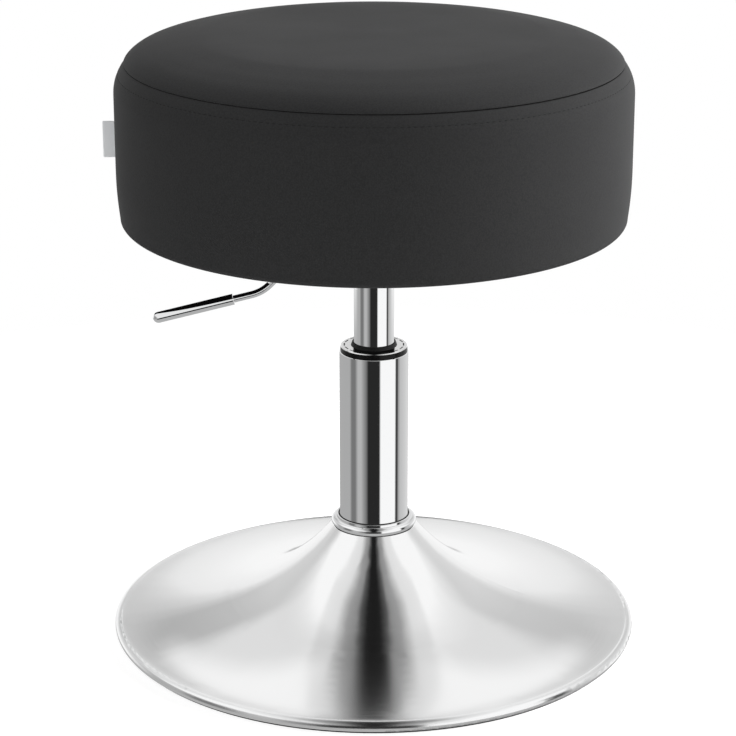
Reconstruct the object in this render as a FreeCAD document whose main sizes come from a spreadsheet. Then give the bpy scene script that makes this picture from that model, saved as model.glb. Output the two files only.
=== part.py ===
import FreeCAD, Part

import math
import os
import re

import Sketcher

# A round swivel stool: an upholstered seat on a gas column in a trumpet base.
# The origin is on the floor at the middle of the base, +Z is up, and the release lever points to -X.
# The seat is drawn at the height of its rest pose, partly raised.

LEFT = 1
RIGHT = -1

# Driving sizes in millimetres and degrees: alias, value and what it measures.
SIZES = (
    # Trumpet base
    ("base_diameter", 385, "over the rolled rim"),
    ("rim_height", 9, "top of the rolled rim above the floor"),
    ("rim_bead_radius", 3.75, "outside of the rolled rim"),
    ("rim_crease_angle", 25, "how far the rim rolls back over its top before the flank starts"),
    ("shell_wall", 1.5, "sheet of the base shell"),
    ("neck_height", 79, "top edge of the shell above the floor"),
    ("neck_margin", 6, "from the column to the shell's top edge"),
    ("neck_slope", 53, "steepness of the flank at the neck"),
    ("flank_middle_slope", 20, "steepness where the two arcs of the flank meet"),
    ("floor_ring_width", 12, "rubber ring under the rim"),
    ("floor_ring_height", 3, "rubber ring"),
    ("floor_ring_gap", 0.3, "between the ring and the rolled rim"),
    ("bottom_plate_wall", 1.2, "sheet of the bottom plate"),
    ("access_hole_diameter", 26, "hole in the bottom plate under the rod"),
    ("swage_height", 3, "raised ring pressed into the bottom plate"),
    ("swage_edge_margin", 43, "from the plate's edge to the raised ring"),
    ("swage_hub_margin", 45, "from the hub to the raised ring"),
    ("trim_width", 6.3, "neck ring, from the column outwards"),
    ("trim_bead_radius", 2.8, "round bead of the neck ring"),
    ("trim_lip_height", 1.7, "thin lip above the bead"),
    ("trim_lip_wall", 2.2, "thin lip above the bead"),
    ("trim_gap", 0.1, "between the neck ring and the column"),
    # Column and guide bush
    ("column_diameter", 50, "outer tube"),
    ("column_wall", 1.5, "outer tube"),
    ("column_top_height", 212, "upper end of the outer tube above the floor"),
    ("column_foot_height", 8, "lower end of the outer tube above the floor"),
    ("column_foot_wall", 3, "closed end of the outer tube"),
    ("column_foot_gap", 0.5, "round the rod in the closed end and the lower washer"),
    ("hub_taper_length", 60, "tapered foot of the column"),
    ("hub_taper_angle", 1.5, "half angle of that taper"),
    ("slip_gap", 0.02, "radial play of pieces that are pressed or clamped together"),
    ("run_gap", 0.05, "radial play of pieces that turn or slide on each other"),
    ("bush_length", 82, "guide bush inside the tube"),
    ("bush_land_length", 20, "full-width band at each end of the bush"),
    ("bush_relief_depth", 4, "waist between the two bands"),
    ("collar_height", 4.6, "bush collar above the tube"),
    ("collar_inset", 0.7, "from the tube's outside to the collar"),
    ("collar_chamfer", 0.6, "upper edge of the collar"),
    ("collar_slot_count", 16, "moulded slots in the collar's top"),
    ("collar_slot_length", 6, "one slot"),
    ("collar_slot_width", 1, "one slot"),
    ("collar_slot_depth", 1, "one slot"),
    ("collar_slot_inset", 3.6, "from the tube's outside to the row of slots"),
    ("wiper_width", 2.2, "wiper seal, from the cylinder outwards"),
    ("wiper_depth", 2, "seal below the collar's top"),
    ("wiper_rise", 2.6, "seal above the collar's top"),
    ("wiper_lip", 1.2, "thin upper edge of the seal"),
    # Thrust bearing and rod
    ("ball_diameter", 5, "bearing ball"),
    ("ball_count", 8, "bearing balls"),
    ("ball_circle_diameter", 22, "middle of the row of balls"),
    ("race_depth", 0.6, "groove in each washer"),
    ("race_gap", 0.03, "play of a ball in its groove"),
    ("washer_diameter", 32, "bearing washer"),
    ("washer_thickness", 2, "bearing washer"),
    ("cage_thickness", 1.4, "ball cage"),
    ("cage_margin", 1.6, "cage outside the balls"),
    ("cage_gap", 0.15, "play of a ball in the cage"),
    ("rod_diameter", 10, "piston rod"),
    ("rod_tail_height", 4.9, "lower end of the rod above the floor"),
    ("rod_shoulder_diameter", 17, "flange of the rod on the bearing"),
    ("rod_shoulder_height", 3, "flange of the rod on the bearing"),
    ("clip_drop", 0.6, "from the column's foot to the clip"),
    ("clip_thickness", 1, "spring clip"),
    ("clip_diameter", 16, "spring clip"),
    ("clip_mouth", 6, "open side of the clip"),
    ("clip_groove_depth", 1, "groove in the rod"),
    ("bump_diameter", 26, "rubber buffer"),
    ("bump_height", 8, "rubber buffer"),
    ("bump_chamfer", 1.5, "rubber buffer"),
    ("piston_length", 14, "piston"),
    ("piston_spigot_diameter", 7, "end of the rod inside the piston"),
    ("piston_rivet_height", 2, "head of the rod above the piston"),
    ("seal_depth", 1.8, "piston seal"),
    ("seal_height", 3, "piston seal"),
    # Gas cylinder and valve
    ("cylinder_diameter", 29, "pressure tube"),
    ("cylinder_wall", 1.5, "pressure tube"),
    ("cylinder_foot_height", 72, "lower end of the pressure tube above the floor"),
    ("cylinder_length", 224, "pressure tube"),
    ("cone_length", 36, "tapered top of the pressure tube"),
    ("cone_angle", 1.5, "half angle of that taper"),
    ("rod_guide_length", 20, "guide in the lower end"),
    ("lift_up", 80, "rise from the rest pose to the upper stop"),
    ("stop_gap", 0.5, "piston below the guide at the upper stop"),
    ("valve_diameter", 22, "valve body"),
    ("valve_length", 30, "valve body"),
    ("cap_wall", 4, "closed top of the pressure tube"),
    ("cap_hole_diameter", 8, "hole for the release pin"),
    ("pin_diameter", 5, "release pin"),
    ("pin_projection", 5, "release pin above the pressure tube"),
    ("pin_length", 31, "release pin"),
    # Seat plate and lever
    ("socket_diameter", 40, "tapered socket"),
    ("socket_grip", 29, "socket over the tapered top"),
    ("socket_chamber_gap", 1, "free space round the tapered top above the grip"),
    ("window_width", 12, "opening for the lever"),
    ("window_rise", 1, "sill of the opening above the pressure tube"),
    ("plate_length", 150, "seat plate along the lever"),
    ("plate_width", 150, "seat plate across the lever"),
    ("plate_thickness", 2.5, "seat plate"),
    ("plate_flange", 9, "turned-down edges"),
    ("plate_corner_radius", 6, "lower corners of the turned-down edges"),
    ("screw_pitch", 110, "distance between screws along each side"),
    ("screw_diameter", 6, "seat screw"),
    ("screw_hole_gap", 0.3, "round the screw in plate and washer"),
    ("screw_head_diameter", 11, "seat screw"),
    ("screw_head_height", 4, "seat screw"),
    ("screw_end_gap", 1.5, "screw end below the top of the board"),
    ("flat_washer_diameter", 14, "under the screw head"),
    ("flat_washer_thickness", 1.6, "under the screw head"),
    ("tee_barrel_diameter", 8, "tee nut"),
    ("tee_barrel_length", 9, "tee nut"),
    ("tee_flange_diameter", 18, "tee nut"),
    ("tee_flange_thickness", 1.2, "tee nut"),
    ("pivot_offset", 26, "lever pivot from the column's middle"),
    ("pivot_diameter", 5, "lever pivot"),
    ("pivot_head_diameter", 8, "lever pivot"),
    ("pivot_head_height", 1.5, "lever pivot"),
    ("lug_thickness", 2.5, "bracket sheet"),
    ("lug_reach", 6, "bracket to each side of the pivot"),
    ("lug_foot", 9, "bracket foot on the plate"),
    ("lug_gap", 0.3, "between bracket and rocker"),
    ("rocker_width", 9, "across the lever"),
    ("rocker_half_height", 4.2, "above and below the pivot"),
    ("rocker_play", 2.6, "free space above and below the rocker"),
    ("rocker_nose_reach", 5, "past the column's middle"),
    ("rocker_grip", 12, "over the end of the lever rod"),
    ("nose_gap", 0.2, "above the release pin"),
    ("lever_diameter", 5.2, "bent rod"),
    ("lever_drop_angle", 45, "inner leg of the lever"),
    ("lever_leg_length", 61, "inner leg of the lever"),
    ("lever_end_offset", 11.3, "inner end of the lever, outwards from the pivot"),
    ("lever_end_drop", 3.7, "inner end of the lever, below the pivot"),
    ("lever_bend_radius", 28, "bend of the rod's middle line"),
    ("handle_slope", 14.2, "outer leg below the horizontal"),
    ("handle_start", 21, "from the bend to the grip"),
    ("handle_length", 60, "grip"),
    ("handle_diameter", 8, "grip"),
    ("handle_tip_wall", 8, "solid end of the grip"),
    # Upholstered seat
    ("seat_diameter", 364, "over the side band"),
    ("side_height", 114.1, "from the cover's underside to the seam round the top panel"),
    ("crown_height", 19, "middle of the top above the seam"),
    ("crown_dome_radius", 6000, "flat middle of the top"),
    ("crown_shoulder_radius", 90, "where the top starts to fall"),
    ("crown_edge_radius", 16, "edge of the top at the seam"),
    ("crown_edge_slope", 70, "steepness of the top at the seam"),
    ("side_shoulder_radius", 31, "where the side band draws in to the seam"),
    ("side_shoulder_drop", 20.3, "that rounding, below the seam"),
    ("side_turn_drop", 75, "from the seam to where the side starts to draw in below"),
    ("side_lower_radius", 250, "lower part of the side band"),
    ("side_edge_radius", 6.5, "lower edge of the side band"),
    ("hem_diameter", 276, "inner edge of the turned-under hem"),
    ("cover_thickness", 1.2, "seat cover"),
    ("foam_gap", 0.3, "between foam and cover"),
    ("board_diameter", 336, "plywood board"),
    ("board_thickness", 12, "plywood board"),
    ("board_gap", 0.3, "between board and foam skirt"),
    ("dust_cover_diameter", 330, "fabric under the seat"),
    ("dust_cover_opening", 226, "opening round the seat plate"),
    ("dust_cover_thickness", 0.4, "fabric under the seat"),
    ("staple_count", 24, "staples in the hem"),
    ("staple_circle_diameter", 316, "row of staples"),
    ("staple_crown", 10, "one staple"),
    ("staple_leg", 7, "one staple"),
    ("staple_wire", 0.9, "one staple"),
    ("tag_height", 26, "sewn tab"),
    ("tag_reach", 8.7, "sewn tab"),
    ("tag_thickness", 1.2, "sewn tab, folded double"),
    ("tag_rise", 57.5, "middle of the tab above the cover's underside"),
)

doc = FreeCAD.newDocument("VanityStool")
sheet = doc.addObject("Spreadsheet::Sheet", "Sizes")
for row, (alias, number, meaning) in enumerate(SIZES, start=1):
    sheet.set(f"A{row}", meaning)
    sheet.set(f"B{row}", str(number))
    sheet.setAlias(f"B{row}", alias)
doc.recompute()

ALIASES = {alias for alias, _, _ in SIZES}
WORD = re.compile(r"[a-z_]+")
bodies = []


def bound(formula):
    """The formula with each size named as a cell of the sheet."""
    return WORD.sub(lambda word: f"Sizes.{word[0]}" if word[0] in ALIASES else word[0], formula)


def value(formula):
    """The formula's number with the sheet's present sizes."""
    return float(sheet.evalExpression(formula))


def bind(thing, **formulas):
    """Tie each named property of a feature to a formula of sizes."""
    for name, formula in formulas.items():
        thing.setExpression(name, bound(formula))


def new_body(label):
    """An empty body whose label names a piece of the stool."""
    body = doc.addObject("PartDesign::Body", label)
    body.Label = label
    bodies.append(body)
    return body


def origin_feature(body, role):
    """One of the body's own origin planes or axes."""
    return next(feature for feature in body.Origin.OriginFeatures if feature.Role == role)


def new_sketch(body, role, height="0"):
    """A sketch on one of the body's origin planes, raised along the plane's normal."""
    sketch = body.newObject("Sketcher::SketchObject", f"{body.Label}_sketch")
    sketch.AttachmentSupport = [(origin_feature(body, role), "")]
    sketch.MapMode = "FlatFace"
    if height != "0":
        sketch.setExpression("AttachmentOffset.Base.z", bound(height))
    return sketch


def drive(sketch, kind, *places, formula):
    """Add one constraint to a sketch and tie it to a formula of sizes."""
    index = sketch.addConstraint(Sketcher.Constraint(kind, *places, value(formula)))
    sketch.setExpression(f"Constraints[{index}]", bound(formula))


def pin_point(sketch, geometry, end, across, up):
    """Hold a point of a sketch at two formulas, measured from the sketch's origin."""
    drive(sketch, "DistanceX", -1, 1, geometry, end, formula=across)
    drive(sketch, "DistanceY", -1, 1, geometry, end, formula=up)


def bend(start, finish, radius, turn):
    """An arc of under a half circle that leaves start and turns left or right to finish."""
    chord = finish - start
    middle = (start + finish) * 0.5
    rise = math.sqrt(max(radius**2 - (chord.Length / 2) ** 2, 0))
    centre = middle + FreeCAD.Vector(-chord.y, chord.x, 0).normalize() * (rise * turn)
    first, last = (start, finish) if turn == LEFT else (finish, start)
    angles = [math.atan2(spot.y - centre.y, spot.x - centre.x) for spot in (first, last)]
    return Part.ArcOfCircle(Part.Circle(centre, FreeCAD.Vector(0, 0, 1), radius), *angles)


def outline(sketch, corners, closed=True):
    """Draw straight and round edges through corners, each given by two formulas.

    A corner may add a radius and a turn, which bend the edge that leaves it.
    """
    spots = [FreeCAD.Vector(value(corner[0]), value(corner[1]), 0) for corner in corners]
    edges = []
    for index in range(len(corners) if closed else len(corners) - 1):
        start, finish = spots[index], spots[(index + 1) % len(spots)]
        if len(corners[index]) == 2:
            edge = sketch.addGeometry(Part.LineSegment(start, finish), False)
            edges.append((edge, 1, 2))
        else:
            radius, turn = corners[index][2:]
            edge = sketch.addGeometry(bend(start, finish, value(radius), turn), False)
            drive(sketch, "Radius", edge, formula=radius)
            edges.append((edge, 1, 2) if turn == LEFT else (edge, 2, 1))
        pin_point(sketch, edge, edges[-1][1], *corners[index][:2])
    for (edge, _, end), (other, start, _) in zip(edges, edges[1:]):
        sketch.addConstraint(Sketcher.Constraint("Coincident", edge, end, other, start))
    last_edge, _, last_end = edges[-1]
    if closed:
        sketch.addConstraint(Sketcher.Constraint("Coincident", last_edge, last_end, edges[0][0], edges[0][1]))
    else:
        pin_point(sketch, last_edge, last_end, *corners[-1][:2])


def circle(sketch, across, up, diameter):
    """Draw a circle whose middle and diameter follow formulas."""
    middle = FreeCAD.Vector(value(across), value(up), 0)
    ring = sketch.addGeometry(Part.Circle(middle, FreeCAD.Vector(0, 0, 1), value(diameter) / 2), False)
    pin_point(sketch, ring, 3, across, up)
    drive(sketch, "Diameter", ring, formula=diameter)


def rectangle(sketch, left, right, low, high):
    """Draw an upright rectangle between four formulas."""
    outline(sketch, [(left, low), (right, low), (right, high), (left, high)])


def axis_line(sketch, start, finish):
    """Draw a line to turn a profile about, between two pairs of formulas."""
    spots = [FreeCAD.Vector(value(across), value(up), 0) for across, up in (start, finish)]
    line = sketch.addGeometry(Part.LineSegment(*spots), True)
    pin_point(sketch, line, 1, *start)
    pin_point(sketch, line, 2, *finish)


def turned(body, sketch, feature="Revolution", axis="V_Axis"):
    """Turn a profile once round an axis of its sketch."""
    solid = body.newObject(f"PartDesign::{feature}", f"{body.Label}_{feature.lower()}")
    solid.Profile = sketch
    solid.ReferenceAxis = (sketch, [axis])
    solid.Angle = 360
    doc.recompute()
    return solid


def turned_piece(label, corners):
    """A piece turned about the column's axis from one closed half profile."""
    body = new_body(label)
    sketch = new_sketch(body, "XZ_Plane")
    outline(sketch, corners)
    turned(body, sketch)
    return body


def pad(body, sketch, length, both_ways=False):
    """Raise a profile by a length, upwards or half to each side."""
    solid = body.newObject("PartDesign::Pad", f"{body.Label}_pad")
    solid.Profile = sketch
    if both_ways:
        solid.SideType = "Symmetric"
    bind(solid, Length=length)
    doc.recompute()
    return solid


def cut(body, sketch, length, reverse=False, both_ways=False):
    """Pocket a profile into the body, and make sure that it takes something away."""
    before = body.Shape.Volume
    hole = body.newObject("PartDesign::Pocket", f"{body.Label}_pocket")
    hole.Profile = sketch
    hole.Reversed = reverse
    if both_ways:
        hole.SideType = "Symmetric"
    bind(hole, Length=length)
    doc.recompute()
    if body.Shape.Volume >= before:
        raise RuntimeError(f"{hole.Label} cuts nothing")
    return hole


def ring_of(body, feature, count):
    """Repeat a feature round the column's axis."""
    pattern = body.newObject("PartDesign::PolarPattern", f"{body.Label}_ring")
    pattern.Originals = [feature]
    pattern.Axis = (origin_feature(body, "Z_Axis"), [""])
    pattern.Angle = 360
    bind(pattern, Occurrences=count)
    body.Tip = pattern
    doc.recompute()


# Places that several pieces share, as formulas of the sizes.

COLUMN = "(column_diameter / 2)"
COLUMN_BORE = "(column_diameter / 2 - column_wall)"
TAPER_TOP = "(column_foot_height + hub_taper_length)"
FOOT = "(column_diameter / 2 - hub_taper_length * tan(hub_taper_angle))"
CYLINDER = "(cylinder_diameter / 2)"
CYLINDER_BORE = "(cylinder_diameter / 2 - cylinder_wall)"
ROD = "(rod_diameter / 2)"

BEAD_MIDDLE = "(base_diameter / 2 - rim_bead_radius)"
BEAD_HEIGHT = "(rim_height - rim_bead_radius)"
NECK = "(column_diameter / 2 + neck_margin)"
HUB = "(column_diameter / 2 + neck_margin - shell_wall * sin(neck_slope) - slip_gap)"
PLATE_TOP = "(floor_ring_height + bottom_plate_wall)"
RING_EDGE = "(base_diameter / 2 - rim_bead_radius - floor_ring_gap)"

WASHER_TOP = "(column_foot_height + column_foot_wall + washer_thickness)"
BALL_HEIGHT = f"({WASHER_TOP} - race_depth + ball_diameter / 2 + race_gap)"
SECOND_WASHER = f"({BALL_HEIGHT} + ball_diameter / 2 + race_gap - race_depth)"
SHOULDER = f"({SECOND_WASHER} + washer_thickness)"
SHOULDER_TOP = f"({SHOULDER} + rod_shoulder_height)"
PISTON_FOOT = "(cylinder_foot_height + lift_up + rod_guide_length + stop_gap)"
PISTON_TOP = f"({PISTON_FOOT} + piston_length)"

COLLAR_TOP = "(column_top_height + collar_height)"
WIPER_SEAT = f"({COLLAR_TOP} - wiper_depth)"
WIPER_EDGE = f"({CYLINDER} + run_gap + wiper_width)"

CYLINDER_TOP = "(cylinder_foot_height + cylinder_length)"
PIN_TOP = f"({CYLINDER_TOP} + pin_projection)"
PIVOT_HEIGHT = f"({CYLINDER_TOP} + rocker_play + rocker_half_height)"
LEVER_END = "(-pivot_offset - lever_end_offset)"
LEVER_END_HEIGHT = f"({PIVOT_HEIGHT} - lever_end_drop)"
ELBOW = f"({LEVER_END} - lever_leg_length * cos(lever_drop_angle))"
ELBOW_HEIGHT = f"({LEVER_END_HEIGHT} - lever_leg_length * sin(lever_drop_angle))"

PLATE_FOOT = f"({PIVOT_HEIGHT} + rocker_half_height + rocker_play)"
BOARD_FOOT = f"({PLATE_FOOT} + plate_thickness)"
BOARD_TOP = f"({BOARD_FOOT} + board_thickness)"
SCREW_CIRCLE = "(screw_pitch / sqrt(2))"

SEAT = "(seat_diameter / 2)"
SEAT_FOOT = f"({BOARD_FOOT} - cover_thickness)"
SEAM_HEIGHT = f"({SEAT_FOOT} + side_height)"
SHOULDER_LINE = f"({SEAM_HEIGHT} - side_shoulder_drop)"
TURN_LINE = f"({SEAM_HEIGHT} - side_turn_drop)"
LEAN = "sqrt(1 - (side_shoulder_drop / side_shoulder_radius)^2)"
SEAM = f"(seat_diameter / 2 - side_shoulder_radius * (1 - {LEAN}))"


# Base

def base_shell():
    """Spun trumpet: a flank of two arcs, which ends in a rim rolled round under itself."""
    crease = f"({BEAD_MIDDLE} - rim_bead_radius * sin(rim_crease_angle))"
    crease_height = f"({BEAD_HEIGHT} + rim_bead_radius * cos(rim_crease_angle))"
    width = f"({crease} - {NECK})"
    fall = f"(neck_height - {crease_height})"
    steep, flat = "sin(neck_slope)", "sin(flank_middle_slope)"
    steep_side, flat_side = "cos(neck_slope)", "cos(flank_middle_slope)"
    share = f"(({steep} - {flat}) * (1 - {flat_side}) - {flat} * ({flat_side} - {steep_side}))"
    upper = f"(({width} * (1 - {flat_side}) - {fall} * {flat}) / {share})"
    lower = f"(({width} - {upper} * ({steep} - {flat})) / {flat})"
    inner_bead = "(rim_bead_radius - shell_wall)"
    turned_piece("base_shell", [
        (NECK, "neck_height", upper, LEFT),
        (f"{crease} - {lower} * {flat}", f"{crease_height} + {lower} * (1 - {flat_side})", lower, LEFT),
        (crease, crease_height, "rim_bead_radius", RIGHT),
        ("base_diameter / 2", BEAD_HEIGHT, "rim_bead_radius", RIGHT),
        (BEAD_MIDDLE, f"{BEAD_HEIGHT} - rim_bead_radius"),
        (BEAD_MIDDLE, f"{BEAD_HEIGHT} - {inner_bead}", inner_bead, LEFT),
        ("base_diameter / 2 - shell_wall", BEAD_HEIGHT, inner_bead, LEFT),
        (f"{BEAD_MIDDLE} - {inner_bead} * sin(rim_crease_angle)",
         f"{BEAD_HEIGHT} + {inner_bead} * cos(rim_crease_angle)"),
        (crease, f"{crease_height} - shell_wall", f"{lower} + shell_wall", RIGHT),
        (f"{crease} - ({lower} + shell_wall) * {flat}",
         f"{crease_height} + {lower} - ({lower} + shell_wall) * {flat_side}", f"{upper} + shell_wall", RIGHT),
        (f"{NECK} - shell_wall * {steep}", f"neck_height - shell_wall * {steep_side}"),
    ])


def base_floor_ring():
    """Rubber ring that stands on the floor, just inside the rolled rim."""
    body = new_body("base_floor_ring")
    sketch = new_sketch(body, "XZ_Plane")
    rectangle(sketch, f"{RING_EDGE} - floor_ring_width", RING_EDGE, "0", "floor_ring_height")
    turned(body, sketch)


def base_bottom_plate():
    """Pressed plate with a raised ring, which lies on the rubber ring and carries the hub."""
    low, raised = "floor_ring_height", "(floor_ring_height + swage_height)"
    inner = f"({HUB} + swage_hub_margin)"
    outer = f"({RING_EDGE} - swage_edge_margin)"
    under = [
        ("access_hole_diameter / 2", low),
        (f"{inner} - swage_height", low),
        (inner, raised),
        (outer, raised),
        (f"{outer} + swage_height", low),
        (RING_EDGE, low),
    ]
    above = [(across, f"{up} + bottom_plate_wall") for across, up in reversed(under)]
    turned_piece("base_bottom_plate", under + above)


def base_hub():
    """Tapered socket that grips the foot of the column."""
    turned_piece("base_hub", [
        (f"{FOOT} + slip_gap", PLATE_TOP),
        (HUB, PLATE_TOP),
        (HUB, "neck_height"),
        (f"{COLUMN} + slip_gap", "neck_height"),
        (f"{COLUMN} + slip_gap", TAPER_TOP),
        (f"{FOOT} + slip_gap", "column_foot_height"),
    ])


def neck_trim_ring():
    """Chromed bead with a thin lip, round the column on top of the hub."""
    inside = f"({COLUMN} + trim_gap)"
    outside = f"({COLUMN} + trim_width)"
    bead_top = "(neck_height + 2 * trim_bead_radius)"
    turned_piece("neck_trim_ring", [
        (inside, "neck_height"),
        (f"{outside} - trim_bead_radius", "neck_height", "trim_bead_radius", LEFT),
        (outside, "neck_height + trim_bead_radius", "trim_bead_radius", LEFT),
        (f"{outside} - trim_bead_radius", bead_top),
        (f"{inside} + trim_lip_wall", bead_top),
        (f"{inside} + trim_lip_wall", f"{bead_top} + trim_lip_height"),
        (inside, f"{bead_top} + trim_lip_height"),
    ])


def column_tube():
    """Outer tube with a tapered, closed foot, which carries the thrust bearing."""
    turned_piece("column_tube", [
        (f"{ROD} + column_foot_gap", "column_foot_height"),
        (FOOT, "column_foot_height"),
        (COLUMN, TAPER_TOP),
        (COLUMN, "column_top_height"),
        (COLUMN_BORE, "column_top_height"),
        (COLUMN_BORE, TAPER_TOP),
        (f"{FOOT} - column_wall", "column_foot_height + column_foot_wall"),
        (f"{ROD} + column_foot_gap", "column_foot_height + column_foot_wall"),
    ])


def guide_bush():
    """Plastic bush in the tube, with a slotted collar that hides the tube's end."""
    bore = f"({CYLINDER} + run_gap)"
    fit = f"({COLUMN_BORE} - slip_gap)"
    waist = f"({fit} - bush_relief_depth)"
    collar = f"({COLUMN} - collar_inset)"
    low = "(column_top_height - bush_length)"
    body = turned_piece("guide_bush", [
        (bore, low),
        (fit, low),
        (fit, f"{low} + bush_land_length"),
        (waist, f"{low} + bush_land_length"),
        (waist, "column_top_height - bush_land_length"),
        (fit, "column_top_height - bush_land_length"),
        (fit, "column_top_height"),
        (collar, "column_top_height"),
        (collar, f"{COLLAR_TOP} - collar_chamfer"),
        (f"{collar} - collar_chamfer", COLLAR_TOP),
        (WIPER_EDGE, COLLAR_TOP),
        (WIPER_EDGE, WIPER_SEAT),
        (bore, WIPER_SEAT),
    ])
    slot = new_sketch(body, "XY_Plane", COLLAR_TOP)
    row = f"({COLUMN} - collar_slot_inset)"
    rectangle(slot, "-collar_slot_length / 2", "collar_slot_length / 2",
              f"{row} - collar_slot_width / 2", f"{row} + collar_slot_width / 2")
    ring_of(body, cut(body, slot, "collar_slot_depth"), "collar_slot_count")


def wiper_seal():
    """Rubber lip round the pressure tube, set into the collar."""
    bore = f"({CYLINDER} + run_gap)"
    edge = f"({WIPER_EDGE} - slip_gap)"
    turned_piece("wiper_seal", [
        (bore, WIPER_SEAT),
        (edge, WIPER_SEAT),
        (edge, COLLAR_TOP),
        (f"{bore} + wiper_lip", f"{COLLAR_TOP} + wiper_rise"),
        (bore, f"{COLLAR_TOP} + wiper_rise"),
    ])


# Thrust bearing

def bearing_washer(label, low, play):
    """Washer with a race for the balls, which run in it with a little play."""
    body = new_body(label)
    sketch = new_sketch(body, "XZ_Plane")
    rectangle(sketch, f"{ROD} + {play}", "washer_diameter / 2", low, f"{low} + washer_thickness")
    turned(body, sketch)
    race = new_sketch(body, "XZ_Plane")
    circle(race, "ball_circle_diameter / 2", BALL_HEIGHT, "ball_diameter + 2 * race_gap")
    turned(body, race, "Groove")


def bearing_cage():
    """Flat ring with a hole for each ball."""
    body = new_body("bearing_cage")
    sketch = new_sketch(body, "XY_Plane", f"{BALL_HEIGHT} - cage_thickness / 2")
    circle(sketch, "0", "0", "ball_circle_diameter + ball_diameter + 2 * cage_margin")
    circle(sketch, "0", "0", "ball_circle_diameter - ball_diameter - 2 * cage_margin")
    pad(body, sketch, "cage_thickness")
    hole = new_sketch(body, "XY_Plane", f"{BALL_HEIGHT} - cage_thickness / 2")
    circle(hole, "ball_circle_diameter / 2", "0", "ball_diameter + 2 * cage_gap")
    ring_of(body, cut(body, hole, "cage_thickness", reverse=True), "ball_count")


def bearing_balls():
    """Ring of separate balls, each turned from a half circle."""
    body = new_body("bearing_balls")
    sketch = new_sketch(body, "XZ_Plane")
    middle, radius = "ball_circle_diameter / 2", "ball_diameter / 2"
    poles = [(middle, f"{BALL_HEIGHT} - {radius}"), (middle, f"{BALL_HEIGHT} + {radius}")]
    outline(sketch, [
        (*poles[0], radius, LEFT),
        (f"{middle} + {radius}", BALL_HEIGHT, radius, LEFT),
        poles[1],
    ])
    axis_line(sketch, *poles)
    ring_of(body, turned(body, sketch, axis="Axis0"), "ball_count")


# Rod

def piston_rod():
    """Rod that hangs on the bearing by its flange and carries the piston."""
    spigot = "piston_spigot_diameter / 2"
    groove = f"({ROD} - clip_groove_depth)"
    clip_top = "(column_foot_height - clip_drop)"
    clip_foot = f"({clip_top} - clip_thickness)"
    flange = "rod_shoulder_diameter / 2"
    turned_piece("piston_rod", [
        ("0", "rod_tail_height"),
        (ROD, "rod_tail_height"),
        (ROD, f"{clip_foot} - slip_gap"),
        (groove, f"{clip_foot} - slip_gap"),
        (groove, f"{clip_top} + slip_gap"),
        (ROD, f"{clip_top} + slip_gap"),
        (ROD, SHOULDER),
        (flange, SHOULDER),
        (flange, SHOULDER_TOP),
        (ROD, SHOULDER_TOP),
        (ROD, PISTON_FOOT),
        (spigot, PISTON_FOOT),
        (spigot, PISTON_TOP),
        (ROD, PISTON_TOP),
        (ROD, f"{PISTON_TOP} + piston_rivet_height"),
        ("0", f"{PISTON_TOP} + piston_rivet_height"),
    ])


def rod_clip():
    """Open spring clip in the rod's groove, under the column's foot."""
    body = new_body("rod_clip")
    low = "(column_foot_height - clip_drop - clip_thickness)"
    sketch = new_sketch(body, "XY_Plane", low)
    circle(sketch, "0", "0", "clip_diameter")
    circle(sketch, "0", "0", "rod_diameter - 2 * clip_groove_depth + 2 * slip_gap")
    pad(body, sketch, "clip_thickness")
    mouth = new_sketch(body, "XY_Plane", low)
    rectangle(mouth, "0", "clip_diameter", "-clip_mouth / 2", "clip_mouth / 2")
    cut(body, mouth, "clip_thickness", reverse=True)


def bump_stop():
    """Rubber buffer on the rod's flange, for the lower end of the stroke."""
    bore, edge = f"({ROD} + slip_gap)", "bump_diameter / 2"
    top = f"({SHOULDER_TOP} + bump_height)"
    turned_piece("bump_stop", [
        (bore, SHOULDER_TOP),
        (edge, SHOULDER_TOP),
        (edge, f"{top} - bump_chamfer"),
        (f"{edge} - bump_chamfer", top),
        (bore, top),
    ])


def piston():
    """Piston with a groove for its seal, riveted on the end of the rod."""
    edge = f"({CYLINDER_BORE} - run_gap)"
    middle = f"({PISTON_FOOT} + piston_length / 2)"
    turned_piece("piston", [
        ("piston_spigot_diameter / 2 + slip_gap", PISTON_FOOT),
        (edge, PISTON_FOOT),
        (edge, f"{middle} - seal_height / 2"),
        (f"{edge} - seal_depth", f"{middle} - seal_height / 2"),
        (f"{edge} - seal_depth", f"{middle} + seal_height / 2"),
        (edge, f"{middle} + seal_height / 2"),
        (edge, PISTON_TOP),
        ("piston_spigot_diameter / 2 + slip_gap", PISTON_TOP),
    ])


def piston_seal():
    """Ring in the piston's groove."""
    body = new_body("piston_seal")
    edge = f"({CYLINDER_BORE} - run_gap)"
    middle = f"({PISTON_FOOT} + piston_length / 2)"
    sketch = new_sketch(body, "XZ_Plane")
    rectangle(sketch, f"{edge} - seal_depth + slip_gap", edge,
              f"{middle} - seal_height / 2 + slip_gap", f"{middle} + seal_height / 2 - slip_gap")
    turned(body, sketch)


# Gas cylinder and valve

def gas_cylinder():
    """Pressure tube with a tapered, closed top."""
    valve = "valve_diameter / 2"
    cap = f"({CYLINDER_TOP} - cap_wall)"
    step = f"({cap} - valve_length)"
    turned_piece("gas_cylinder", [
        (CYLINDER_BORE, "cylinder_foot_height"),
        (CYLINDER, "cylinder_foot_height"),
        (CYLINDER, f"{CYLINDER_TOP} - cone_length"),
        (f"{CYLINDER} - cone_length * tan(cone_angle)", CYLINDER_TOP),
        ("cap_hole_diameter / 2", CYLINDER_TOP),
        ("cap_hole_diameter / 2", cap),
        (valve, cap),
        (valve, step),
        (CYLINDER_BORE, step),
    ])


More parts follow.
